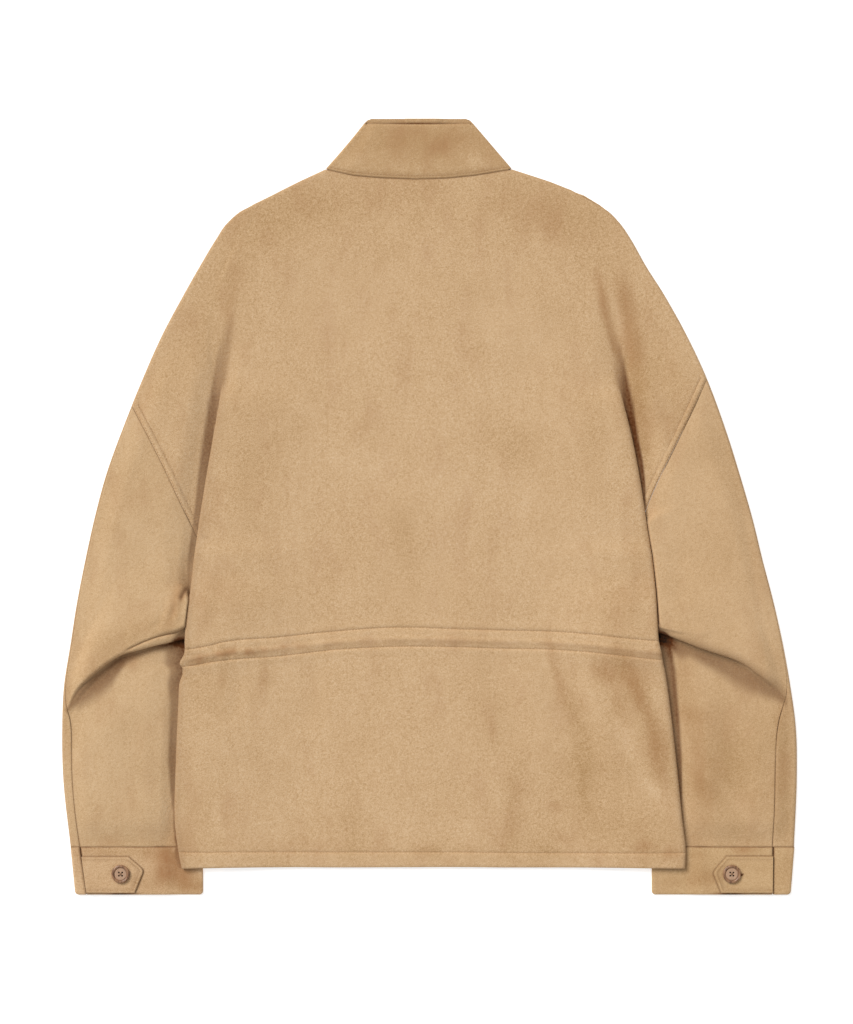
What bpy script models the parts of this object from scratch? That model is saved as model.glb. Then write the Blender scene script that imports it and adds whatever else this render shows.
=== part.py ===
"""Suede jacket laid flat on its front, back upwards: a solid model of its cut pieces.

Frame: +Z up, +X towards the jacket's right side, +Y from the hem to the collar. The jacket rests on
z = 0. Every table below is in millimetres from the middle of the laid jacket; points become metres in
grid(). Each piece is a wall of suede: an open grid, shaped by its own place() function, with Solidify.
"""

import math
from typing import Callable, NamedTuple

import bmesh
import bpy
from mathutils import Vector

MM = 0.001

# Driving dimensions, in millimetres.
WALL = 1.2              # suede
COLLAR_WALL = 2.0       # two plies
CUFF_WALL = 1.8
GAP = 0.3               # between sewn pieces
REST = WALL / 2         # middle of a wall that lies on the surface
LOFT = 5.25             # between the middles of a sleeve's two layers
ROLL = 2.85             # how far in from an edge the cloth rolls over
ROLL_GAP = 0.8          # between two rolled edges that meet, whose rims lean towards each other
UNDER_BACK = 4.75       # a front below the back where both lie over a tucked sleeve
BACK_MIDDLE = REST + LOFT  # back panel along the spine
LAP = 30.0              # one front over the other
LAP_LIFT = WALL + GAP
COLLAR_BACK = 5.6       # back half of the collar
CUFF_LOFT = 2.3         # between the middles of a cuff's two layers, where tucked
CUFF_CROWN = 1.1        # how much more it rises in its middle
CUFF_BOTTOM = -416.5
CUFF_TOP = -366.0
CUFF_SINK = 1.2         # how much the sleeve sinks on its way to the cuff
ARMPIT_CLEARANCE = 6.0  # a front drawn in at the armpit, where it climbs over the sleeve
SEAM_SHIFT = (0.36, -0.19)  # a sleeve's upper end from the armhole seam: out, and down
SEAT = 0.3              # a tab on its cuff, a button on its tab
TAB_INSET = 1.5         # tab's lower edge above the cuff's
CUFF_REST = CUFF_WALL / 2
COLLAR_REST = COLLAR_WALL / 2
COLLAR_CLEAR = 0.7      # more room along the hidden neck seam, whose two sides have unlike points
RIDGE = 1.7             # drawcord under the waist channel
BUTTON_RADIUS = 9.8
BUTTON_THICK = 3.2
BUTTON_RIM = 2.4
BUTTON_DISH = 0.9
BUTTON_HOLE = 1.0
BUTTON_HOLE_SPREAD = 2.2

# Colours (linear RGB).
SUEDE = (0.58, 0.39, 0.23)
SUEDE_SHADE = (0.45, 0.28, 0.15)
HORN = (0.22, 0.13, 0.08)


class Outline(NamedTuple):
    """Outer edge of the laid jacket at one height: shoulders, then sleeves."""

    y: float
    left: float
    right: float


OUTLINE = (
    Outline(362, -112, 89),
    Outline(349, -140, 129),
    Outline(334, -170, 167),
    Outline(319, -200, 190),
    Outline(304, -218, 205),
    Outline(288, -229, 216),
    Outline(258, -247, 233),
    Outline(228, -264, 252),
    Outline(183, -288, 277),
    Outline(138, -308, 298),
    Outline(78, -332, 320),
    Outline(33, -348, 334),
    Outline(-12, -360, 347),
    Outline(-57, -370, 358),
    Outline(-103, -379, 370),
    Outline(-148, -386, 380),
    Outline(-193, -393, 388),
    Outline(-238, -395, 394),
    Outline(-290, -394, 395),
    Outline(-366, -386, 392),
)


class BodyEdge(NamedTuple):
    """Side of the body, which lies over the sleeve, and the line of its pleat above the armpit."""

    y: float
    left: float
    right: float


BODY_EDGE = (
    BodyEdge(341, -155, 151),
    BodyEdge(265, -193, 181),
    BodyEdge(197, -214, 194),
    BodyEdge(133, -222, 203),
    BodyEdge(74, -234, 218),
    BodyEdge(28, -242, 226),
    BodyEdge(-16, -250, 233),
    BodyEdge(-60, -256, 240),
    BodyEdge(-122, -261, 245),
    BodyEdge(-175, -266, 252),
    BodyEdge(-208, -269, 257),
    BodyEdge(-278, -272, 265),
    BodyEdge(-337, -273, 271),
    BodyEdge(-365, -270, 275),
    BodyEdge(-391, -265, 275),
)


class Armhole(NamedTuple):
    """Armhole seam, from the outline (t = 0) to the armpit (t = 1)."""

    t: float
    left: float
    right: float


ARMHOLE = (
    Armhole(0.00, -319.5, 298.0),
    Armhole(0.25, -300.5, 281.0),
    Armhole(0.50, -282.5, 263.5),
    Armhole(0.75, -267.0, 246.5),
    Armhole(1.00, -254.0, 232.5),
)
ARMHOLE_TOP = {"left": 108.0, "right": 137.0}
ARMPIT = {"left": -36.0, "right": -8.0}


class Elbow(NamedTuple):
    """Height of the elbow fold, from the hind seam (u = 0) to the inner seam (u = 1)."""

    u: float
    left: float
    right: float


ELBOW = (
    Elbow(0.00, -224, -216),
    Elbow(0.05, -206, -207),
    Elbow(0.15, -187, -192),
    Elbow(0.30, -170, -174),
    Elbow(0.50, -155, -158),
    Elbow(0.75, -145, -143),
    Elbow(1.00, -136, -133),
)


class InnerEdge(NamedTuple):
    """Inner edge of the sleeve, tucked under the body."""

    y: float
    left: float
    right: float


INNER_EDGE = (
    InnerEdge(-8, -256, 232.5),
    InnerEdge(-22, -255, 234.5),
    InnerEdge(-36, -254, 236),
    InnerEdge(-52, -256, 237),
    InnerEdge(-80, -252, 234),
    InnerEdge(-140, -243, 231),
    InnerEdge(-240, -240, 236),
    InnerEdge(-366, -244, 239),
)


class HindSeam(NamedTuple):
    """How far the sleeve's hind seam lies in from the outline."""

    y: float
    left: float
    right: float


HIND_SEAM = (
    HindSeam(140, 4.5, 4.5),
    HindSeam(-160, 4.5, 5.0),
    HindSeam(-212, 6.0, 10.0),
    HindSeam(-230, 9.0, 17.0),
    HindSeam(-265, 10.0, 23.5),
    HindSeam(-366, 10.0, 23.0),
)


class Pleat(NamedTuple):
    """Pleat between the body and the dropped shoulder, and the body's step over the sleeve."""

    y: float
    depth: float     # how far the cloth is folded under
    step: float      # body above the cloth beside it
    dip: float       # how low the cloth beside it sinks
    roll: float      # drop of the body's edge
    spread: float    # spacing of the pleat's lines where it is open


PLEAT = (
    Pleat(y=362, depth=0, step=0.0, dip=0.0, roll=0.0, spread=5.0),
    Pleat(y=215, depth=0, step=0.0, dip=0.0, roll=0.0, spread=5.0),
    Pleat(y=160, depth=0, step=2.2, dip=0.3, roll=0.5, spread=2.4),
    Pleat(y=110, depth=2, step=4.2, dip=1.0, roll=1.0, spread=1.2),
    Pleat(y=40, depth=12, step=4.4, dip=2.0, roll=1.1, spread=0.6),
    Pleat(y=-8, depth=18, step=4.9, dip=2.8, roll=1.2, spread=0.3),
    Pleat(y=-36, depth=18, step=5.2, dip=3.1, roll=1.3, spread=0.3),
    Pleat(y=-50, depth=18, step=7.0, dip=3.3, roll=1.9, spread=0.3),
    Pleat(y=-62, depth=18, step=7.2, dip=3.3, roll=2.1, spread=0.3),
    Pleat(y=-76, depth=18, step=7.4, dip=3.3, roll=2.1, spread=0.3),
    Pleat(y=-92, depth=18, step=9.4, dip=3.3, roll=2.1, spread=0.3),
    Pleat(y=-106, depth=18, step=11.0, dip=3.3, roll=2.1, spread=0.3),
    Pleat(y=-152, depth=18, step=11.0, dip=3.3, roll=2.1, spread=0.3),
    Pleat(y=-176, depth=18, step=7.6, dip=3.3, roll=2.1, spread=0.3),
    Pleat(y=-200, depth=18, step=7.2, dip=3.3, roll=2.1, spread=0.3),
    Pleat(y=-391, depth=18, step=7.2, dip=3.3, roll=2.1, spread=0.3),
)


class FoldLine(NamedTuple):
    """One line of a folded-under pleat, from its lip to the cloth beneath."""

    under: float     # share of the depth
    level: float     # share of the step


FOLD_LINES = (
    FoldLine(0.30, 0.50),
    FoldLine(0.75, 0.50),
    FoldLine(1.00, 0.25),
    FoldLine(0.75, 0.00),
    FoldLine(0.30, 0.00),
)


class Neck(NamedTuple):
    """Neck seam, from the top of one shoulder to the other's."""

    x: float
    y: float


NECK = (
    Neck(-111.4, 362.0),
    Neck(-82, 355.5),
    Neck(-53, 353.0),
    Neck(-15, 351.5),
    Neck(18, 352.5),
    Neck(49, 355.5),
    Neck(88.4, 362.0),
)
SHOULDER_TIP = 317.0
NECK_LEFT = NECK[0].x
NECK_RIGHT = NECK[-1].x
PLEAT_TOP_LEFT = -155.0
PLEAT_TOP_RIGHT = 151.0


class CollarEnd(NamedTuple):
    """Width and top of the folded collar along its upper edge."""

    left: float
    right: float
    back: float      # top of its back half
    front: float     # top of its front half, which stands a little higher


COLLAR_TOP = CollarEnd(left=-70.0, right=46.5, back=410.5, front=417.0)


class Station(NamedTuple):
    """A line across the back below the armpits, and the rows between it and the line above."""

    left: float
    middle: float
    right: float
    rows: int
    ridge: float     # share of the drawcord's ridge


STATIONS = (
    Station(-50, -36, -22, 1, 0.0),
    Station(-78, -62, -55, 1, 0.0),
    Station(-105, -88, -96, 1, 0.0),
    Station(-128, -108, -120, 1, 0.0),
    Station(-148, -124, -139, 1, 0.0),
    Station(-154.5, -129.5, -144.5, 1, 0.25),
    Station(-159, -135.5, -150, 1, 0.1),
    Station(-165.5, -143, -157.5, 1, 1.0),
    Station(-172.5, -150.5, -164.5, 1, 0.0),
    Station(-371, -371, -373, 6, 0.0),
    Station(-389, -387, -391, 1, 0.0),
)


class Tab(NamedTuple):
    """Pointed cuff tab: its upper edge, its point and its lower edge end at these places."""

    upper: float
    tip: float
    lower: float
    top: float
    point: float
    button: float


TABS = {
    "left": Tab(upper=-323.5, tip=-307.0, lower=-317.0, top=-376.5, point=-390.5, button=-331.5),
    "right": Tab(upper=319.5, tip=304.5, lower=313.5, top=-376.0, point=-393.0, button=324.5),
}
BUTTON_Y = -394.5


class CuffEdge(NamedTuple):
    """Outer edge, slit and inner edge of a cuff at its seam or at its lower edge."""

    outer: float
    slit: float
    inner: float


CUFFS = {
    "left": (CuffEdge(-386.0, -375.5, -243.5), CuffEdge(-381.0, -368.5, -243.5)),
    "right": (CuffEdge(392.5, 369.5, 239.0), CuffEdge(388.5, 369.0, 239.0)),
}

# Shares along seams and rows.
UPPER_ARM_ROWS = (0.0, 0.2, 0.42, 0.62, 0.8, 0.92, 0.975, 1.0)
FOREARM_ROWS = (0.1, 0.28, 0.5, 0.75, 1.0)
ROLL_SIDES = 6
BUTTON_SIDES = 24
SHOULDER_ROWS = (0.0, 0.0014, 0.006, 0.0145, 0.1, 0.25, 0.42, 0.6, 0.8, 1.0)
SEAM_SHARES = (0.14, 0.3, 0.45, 0.6, 0.75, 0.9, 1.0)
SEAM_INSETS = (0.0, 0.25, 1.2, 4.0)
ACROSS_EXTENSION = (1.0, 0.66, 0.36)
EDGE_STEPS = (ROLL, 1.2, 0.25, 0.0)


class Across(NamedTuple):
    """A line down the back: a share of its width, and millimetres from there."""

    share: float
    offset: float


NECK_SHARES = (0.0, 0.018, 0.1, 0.28, 0.5, 0.72, 0.9, 0.982, 1.0)


def blend(start: float, end: float, share: float) -> float:
    """Return the value a share of the way from start to end."""
    return start + (end - start) * share


def ease(low: float, high: float, value: float) -> float:
    """Rise smoothly from 0 at low to 1 at high, whichever of the two is the greater."""
    share = min(1.0, max(0.0, (value - low) / (high - low)))
    return share * share * (3 - 2 * share)


def curve(table: tuple, column: str) -> Callable[[float], float]:
    """Return a smooth function of a table's first column that passes through another column."""
    rows = sorted(table)
    keys = [row[0] for row in rows]
    values = [getattr(row, column) for row in rows]
    slopes = [(values[i + 1] - values[i]) / (keys[i + 1] - keys[i]) for i in range(len(rows) - 1)]
    tangents = [slopes[0]] + [(a + b) / 2 for a, b in zip(slopes, slopes[1:])] + [slopes[-1]]

    def read(at: float) -> float:
        at = min(keys[-1], max(keys[0], at))
        index = next((i for i in range(len(slopes)) if at <= keys[i + 1]), len(slopes) - 1)
        width = keys[index + 1] - keys[index]
        t = (at - keys[index]) / width
        return ((2 * t**3 - 3 * t**2 + 1) * values[index]
                + (t**3 - 2 * t**2 + t) * width * tangents[index]
                + (3 * t**2 - 2 * t**3) * values[index + 1]
                + (t**3 - t**2) * width * tangents[index + 1])

    return read


def polyline(table: tuple, at: float) -> float:
    """Read y at x along the straight stretches between a table's points."""
    for start, end in zip(table, table[1:]):
        if at <= end.x:
            return blend(start.y, end.y, (at - start.x) / (end.x - start.x))
    return table[-1].y


def edge_drop(inset: float, drop: float, width: float = ROLL) -> float:
    """How far a rolled edge has dropped at a distance in from it."""
    share = 1 - min(1.0, max(0.0, inset / width))
    return drop * (1 - math.sqrt(1 - share * share))


pleat_depth = curve(PLEAT, "depth")
pleat_step = curve(PLEAT, "step")
pleat_dip = curve(PLEAT, "dip")
pleat_roll = curve(PLEAT, "roll")
pleat_spread = curve(PLEAT, "spread")


class Side:
    """One side of the laid jacket: its edge lines, and the heights of the cloth beside them."""

    def __init__(self, name: str, outward: int) -> None:
        self.name = name
        self.outward = outward
        edge = curve(OUTLINE, name)
        self.outline = lambda y: edge(y) - outward * WALL / 2
        self.edge = curve(BODY_EDGE, name)
        self.armhole_x = curve(ARMHOLE, name)
        self.elbow = curve(ELBOW, name)
        self.inner = curve(INNER_EDGE, name)
        self.hind = curve(HIND_SEAM, name)
        self.armhole_top = ARMHOLE_TOP[name]
        self.armpit = ARMPIT[name]
        probe = 0.03
        self.inset_per_share = self.inset(*self.armhole(probe)) / probe
        self.seam_steps = tuple(inset / self.inset_per_share for inset in SEAM_INSETS) + SEAM_SHARES
        x, y = self.sleeve_end(self.seam_steps[len(SEAM_INSETS) - 1])
        self.hind_top = y
        self.hind_shift = (self.outline(y) - x) * outward - GAP / 2 - self.hind(y)

    def armhole(self, t: float) -> tuple[float, float]:
        """Return the armhole seam's point at a share of its length."""
        start = self.outline(self.armhole_top) - self.armhole_x(0.0)
        return self.armhole_x(t) + start * (1 - ease(0.0, 0.2, t)), blend(self.armhole_top, self.armpit, t)

    def sleeve_end(self, t: float) -> tuple[float, float]:
        """Return a point of the sleeve's upper end, just clear of the armhole seam."""
        x, y = self.armhole(t)
        return x + self.outward * SEAM_SHIFT[0], y + SEAM_SHIFT[1]

    def inset(self, x: float, y: float) -> float:
        """Return the distance in from the outline."""
        slope = (self.outline(y + 1) - self.outline(y - 1)) / 2
        return (self.outline(y) - x) * self.outward / math.hypot(1, slope)

    def beside(self, x: float, y: float) -> float:
        """Return the distance out from the body's edge."""
        return (x - self.edge(y)) * self.outward

    def upper_height(self, x: float, y: float) -> float:
        """Return the height of the dropped shoulder's or the sleeve's upper layer."""
        sink = pleat_dip(y) * (1 - ease(4, 28, self.beside(x, y)))
        return REST + LOFT - sink

    def shoulder_height(self, x: float, y: float) -> float:
        """Return the upper layer's height where it also rolls over at the outline."""
        return self.upper_height(x, y) - edge_drop(self.inset(x, y), (LOFT - ROLL_GAP) / 2)

    def body_height(self, y: float) -> float:
        """Return the height of the back panel along the body's edge, before its edge rolls over."""
        return self.upper_height(self.edge(y), y) + pleat_step(y)

    def elbow_depth(self, u: float) -> float:
        """Return how far the forearm is folded under the upper arm."""
        return 20.0 * ease(0.08, 0.9, u)

    def elbow_step(self, u: float) -> float:
        """Return how high the upper arm lies over the forearm."""
        return 4.4 * ease(0.0, 0.16, u)


LEFT = Side("left", -1)
RIGHT = Side("right", 1)
SHOULDER_HEIGHTS = (SHOULDER_TIP, 325.0, 334.0, 349.0)
TOP_LINE = (tuple(Neck(LEFT.outline(y), y) for y in SHOULDER_HEIGHTS) + NECK
            + tuple(Neck(RIGHT.outline(y), y) for y in reversed(SHOULDER_HEIGHTS)))


def material(name: str, colour: tuple[float, float, float], roughness: float) -> bpy.types.Material:
    """Make a plain Principled material."""
    made = bpy.data.materials.new(name)
    made.use_nodes = True
    shader = made.node_tree.nodes["Principled BSDF"]
    shader.inputs["Base Color"].default_value = (*colour, 1.0)
    shader.inputs["Roughness"].default_value = roughness
    shader.inputs["Metallic"].default_value = 0.0
    made.diffuse_color = (*colour, 1.0)
    return made


def grid(columns: int, rows: int, place: Callable[[int, int], tuple]) -> bmesh.types.BMesh:
    """Make an open grid whose points stand where place(column, row) puts them, in millimetres."""
    mesh = bmesh.new()
    bmesh.ops.create_grid(mesh, x_segments=columns - 1, y_segments=rows - 1, size=1.0)
    for vert in mesh.verts:
        column = round((vert.co.x + 1) / 2 * (columns - 1))
        row = round((vert.co.y + 1) / 2 * (rows - 1))
        vert.co = Vector(place(column, row)) * MM
    return mesh


def cloth(name: str, pieces: list, wall: float, colour: tuple, home: bpy.types.Collection) -> bpy.types.Object:
    """Join grids into one sheet and give it the thickness of its wall."""
    whole = bmesh.new()
    for piece in pieces:
        data = bpy.data.meshes.new("piece")
        piece.to_mesh(data)
        piece.free()
        whole.from_mesh(data)
        bpy.data.meshes.remove(data)
    bmesh.ops.remove_doubles(whole, verts=whole.verts, dist=0.00002)
    bmesh.ops.recalc_face_normals(whole, faces=whole.faces)
    data = bpy.data.meshes.new(name)
    whole.to_mesh(data)
    whole.free()
    data.shade_smooth()
    made = bpy.data.objects.new(name, data)
    data.materials.append(material(name, colour, 0.95))
    home.objects.link(made)
    thicken = made.modifiers.new("Wall", "SOLIDIFY")
    thicken.thickness = wall * MM
    thicken.offset = 0.0
    return made


def back_lines() -> list[Across]:
    """Return the lines down the back, from the left pleat to the right one."""
    width = PLEAT_TOP_RIGHT - PLEAT_TOP_LEFT
    neck = [blend(NECK_LEFT, NECK_RIGHT, share) for share in NECK_SHARES]
    lines = [Across(0, step) for step in reversed(EDGE_STEPS)] + [Across(0.045, 0), Across(0.09, 0)]
    lines += [Across((x - PLEAT_TOP_LEFT) / width, 0) for x in neck]
    lines += [Across(0.87, 0), Across(0.95, 0)] + [Across(1, -step) for step in EDGE_STEPS]
    return lines


class Row(NamedTuple):
    """A row across the back: its height at each pleat and in the middle, and its ridge."""

    left: float
    middle: float
    right: float
    ridge: float


def back_rows() -> list[Row]:
    """Return the rows down the back: to the armholes, along their seams, then to the hem."""
    ends = {}
    for side, top in ((LEFT, PLEAT_TOP_LEFT), (RIGHT, PLEAT_TOP_RIGHT)):
        top = polyline(TOP_LINE, top)
        corner = side.armhole_top + 6
        rows = [blend(top, corner, share) for share in SHOULDER_ROWS]
        rows += [blend(corner, side.armpit, t) for t in side.seam_steps[1:]]
        ends[side.name] = rows
    rows = [Row(a, (a + b) / 2, b, 0.0) for a, b in zip(ends["left"], ends["right"])]
    for station in STATIONS:
        above = rows[-1]
        for step in range(1, station.rows + 1):
            share = step / station.rows
            rows.append(Row(blend(above.left, station.left, share), blend(above.middle, station.middle, share),
                            blend(above.right, station.right, share), station.ridge if share == 1 else 0.0))
    return rows


BACK_LINES = back_lines()
BACK_ROWS = back_rows()
ARMPIT_ROW = len(SHOULDER_ROWS) + len(LEFT.seam_steps) - 2


def top_fade(row: int) -> float:
    """Return how far a row still follows the neck seam and shoulders."""
    return 1 - ease(0.0, 1.0, SHOULDER_ROWS[min(row, len(SHOULDER_ROWS) - 1)])


def back_point(column: int, row: int) -> tuple[float, float]:
    """Return the plan position of a point of the back's middle, between the pleats."""
    line = BACK_LINES[column]
    ends = BACK_ROWS[row]
    bow = 1 - (2 * line.share - 1) ** 2
    y = blend(ends.left, ends.right, line.share)
    y += (ends.middle - (ends.left + ends.right) / 2) * bow
    top_x = blend(PLEAT_TOP_LEFT, PLEAT_TOP_RIGHT, line.share) + line.offset
    straight = blend(BACK_ROWS[0].left, BACK_ROWS[0].right, line.share)
    y += (polyline(TOP_LINE, top_x) - straight) * top_fade(row)
    left = LEFT.edge(y)
    right = RIGHT.edge(y)
    return blend(left, right, line.share) + line.offset, y


def back_height(x: float, y: float, ridge: float) -> float:
    """Return the height of the back panel between the pleats."""
    height = BACK_MIDDLE
    for side in (LEFT, RIGHT):
        inside = -side.beside(x, y)
        reach = blend(24, 50, ease(side.armpit + 10, side.armpit - 50, y))
        level = pleat_depth(y) + 4
        height += (side.body_height(y) - BACK_MIDDLE) * (1 - ease(level, level + reach, inside))
        height -= edge_drop(inside, pleat_roll(y))
        if y > side.armhole_top:
            height -= edge_drop(side.inset(x, y), (LOFT - ROLL_GAP) / 2)
    return height + RIDGE * ridge


def pleat_and_shoulder(side: Side, column: int, row: int) -> tuple[float, float, float]:
    """Return a point of the back's side: the pleat under the body, then the dropped shoulder."""
    ends = BACK_ROWS[row]
    y = getattr(ends, side.name)
    fold_x = side.edge(y)
    low = side.upper_height(fold_x, y)
    step = pleat_step(y)
    if column == 0:
        line = 0 if side is LEFT else len(BACK_LINES) - 1
        x, y = back_point(line, row)
        return x, y, back_height(x, y, 0.0)
    if row < len(SHOULDER_ROWS):
        end_y = blend(SHOULDER_TIP, side.armhole_top, SHOULDER_ROWS[row])
        end_x = side.outline(end_y)
    else:
        end_x, end_y = side.armhole(side.seam_steps[row - len(SHOULDER_ROWS) + 1])
    index = min(column, len(FOLD_LINES))
    turn = FOLD_LINES[index - 1]
    x = fold_x - side.outward * (turn.under * pleat_depth(y) - pleat_spread(y) * index)
    if (x - fold_x) * side.outward > 0:
        y = blend(y, end_y, min(1.0, (x - fold_x) / (end_x - fold_x)))
    if column <= len(FOLD_LINES):
        level = low + turn.level * step
        return x, y, level - (edge_drop(side.inset(x, y), (LOFT - ROLL_GAP) / 2) if step < 1 else 0)
    width = math.hypot(end_x - x, end_y - y)
    place = column - len(FOLD_LINES) - 1
    if place < len(ACROSS_EXTENSION) - 1:
        share = ACROSS_EXTENSION[place + 1]
    else:
        near = EDGE_STEPS[place - len(ACROSS_EXTENSION) + 1]
        share = min(near / width, near / ROLL * 0.18)
    point_x = blend(end_x, x, share)
    point_y = blend(end_y, y, share)
    return point_x, point_y, side.shoulder_height(point_x, point_y)


def make_back(home: bpy.types.Collection) -> None:
    """Make the back: body, pleats and dropped shoulders in one sheet."""

    def body(column: int, row: int) -> tuple[float, float, float]:
        x, y = back_point(column, row)
        return x, y, back_height(x, y, BACK_ROWS[row].ridge)

    pieces = [grid(len(BACK_LINES), len(BACK_ROWS), body)]
    columns = len(FOLD_LINES) + len(ACROSS_EXTENSION) + len(EDGE_STEPS)
    for side in (LEFT, RIGHT):
        pieces.append(grid(columns, ARMPIT_ROW + 1,
                           lambda column, row, side=side: pleat_and_shoulder(side, column, row)))
    cloth("back", pieces, WALL, SUEDE, home)


def centre_x(y: float) -> float:
    """Return the jacket's centre front."""
    return blend(4.5, -11.5, ease(-389, 352, y))


def front_height(side: Side, x: float, y: float) -> float:
    """Return the height of a front: on the surface, over the tucked sleeve, over the other front."""
    over_sleeve = ease(-38, -7.5, (x - side.inner(min(y, side.armpit))) * side.outward)
    lift = over_sleeve * ease(side.armpit + 2, side.armpit - 13, y)
    height = blend(REST, side.body_height(y) - UNDER_BACK, lift)
    if y > side.armpit:
        height += edge_drop(side.inset(x, y), (LOFT - ROLL_GAP) / 2)
    else:
        height += edge_drop(-side.beside(x, y), UNDER_BACK - ROLL_GAP - pleat_roll(y)) * lift
    if side is RIGHT:
        from_lap = x - centre_x(y) - LAP / 2
        height += LAP_LIFT * (1 - ease(2, 16, from_lap))
    return height


def front_lines(side: Side) -> list[Across]:
    """Return the lines down a front: its lap, the neck's corner, then the slope over the tucked sleeve."""
    lapping = centre_x(BACK_ROWS[0].middle) - side.outward * LAP / 2
    neck = NECK_LEFT if side is LEFT else NECK_RIGHT
    corner = (neck - lapping) / (side.outline(SHOULDER_TIP) - lapping)
    lines = [Across(0, 0), Across(0, LAP + 3), Across(0, LAP + 18)]
    lines += [Across(share, 0) for share in (0.28, 0.4, corner, 0.7)]
    lines += [Across(1, offset) for offset in (40, 7) + EDGE_STEPS]
    return lines


FRONT_LINES = {side.name: front_lines(side) for side in (LEFT, RIGHT)}


def front_end(side: Side, row: int) -> tuple[float, float]:
    """Return the outer end of a front's row: on the outline, the armhole seam or the body's edge."""
    if row < len(SHOULDER_ROWS):
        y = blend(SHOULDER_TIP, side.armhole_top, SHOULDER_ROWS[row])
        return side.outline(y), y
    if row <= ARMPIT_ROW:
        x, y = side.armhole(side.seam_steps[row - len(SHOULDER_ROWS) + 1])
        return x - side.outward * ARMPIT_CLEARANCE * ease(side.armpit + 30, side.armpit, y), y
    y = getattr(BACK_ROWS[row], side.name)
    return side.edge(y), y


def front_point(side: Side, column: int, row: int) -> tuple[float, float, float]:
    """Return a point of a front, from its lapping edge outwards."""
    end_x, end_y = front_end(side, row)
    start_y = BACK_ROWS[row].middle
    start_x = centre_x(start_y) - side.outward * LAP / 2
    width = abs(end_x - start_x)
    line = FRONT_LINES[side.name][column]
    offset = line.offset
    if line.share == 1 and offset > ROLL:
        tucked = (end_x - side.inner(end_y)) * side.outward if end_y < side.armpit else 0.0
        offset += max(8.0, tucked)
    share = offset / width if line.share == 0 else line.share - offset / width
    x = blend(start_x, end_x, share)
    y = blend(start_y, end_y, share)
    tip_x, tip_y = front_end(side, 0)
    top_x = blend(centre_x(BACK_ROWS[0].middle) - side.outward * LAP / 2, tip_x, share)
    y += (polyline(TOP_LINE, top_x) - blend(BACK_ROWS[0].middle, tip_y, share)) * top_fade(row)
    return x, y, front_height(side, x, y)


def make_front(side: Side, home: bpy.types.Collection) -> None:
    """Make one front."""
    piece = grid(len(FRONT_LINES[side.name]), len(BACK_ROWS), lambda column, row: front_point(side, column, row))
    cloth("front_" + side.name, [piece], WALL, SUEDE_SHADE, home)


def sleeve_height(side: Side, x: float, y: float) -> float:
    """Return the height of the sleeve's upper layer, which narrows to the cuff."""
    return max(REST + WALL + GAP, side.upper_height(x, y) - CUFF_SINK * ease(-320, CUFF_TOP, y))


def seam_point(side: Side, y: float, gap: float) -> tuple[float, float]:
    """Return a point of the hind seam, a little to the body's side of it or to the outer side."""
    inset = side.hind(y) + side.hind_shift * ease(side.hind_top - 90, side.hind_top, y)
    return side.outline(y) - side.outward * (inset + gap), y


def patch_point(start: tuple, end: tuple, rows: tuple, u: float, t: float) -> tuple[float, float]:
    """Return a plan point of a patch between two lines, its sides running along two curves.

    Args:
        start: the patch's first line, read at u.
        end: its last line, read at u.
        rows: the outer and inner side curves, read at t.
        u: share across, from the outer side.
        t: share down, from the first line.
    """
    outer, inner = rows
    point = []
    for axis in (0, 1):
        value = blend(outer(t)[axis], inner(t)[axis], u)
        value += (1 - t) * (start(u)[axis] - blend(outer(0)[axis], inner(0)[axis], u))
        value += t * (end(u)[axis] - blend(outer(1)[axis], inner(1)[axis], u))
        point.append(value)
    return point[0], point[1]


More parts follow.
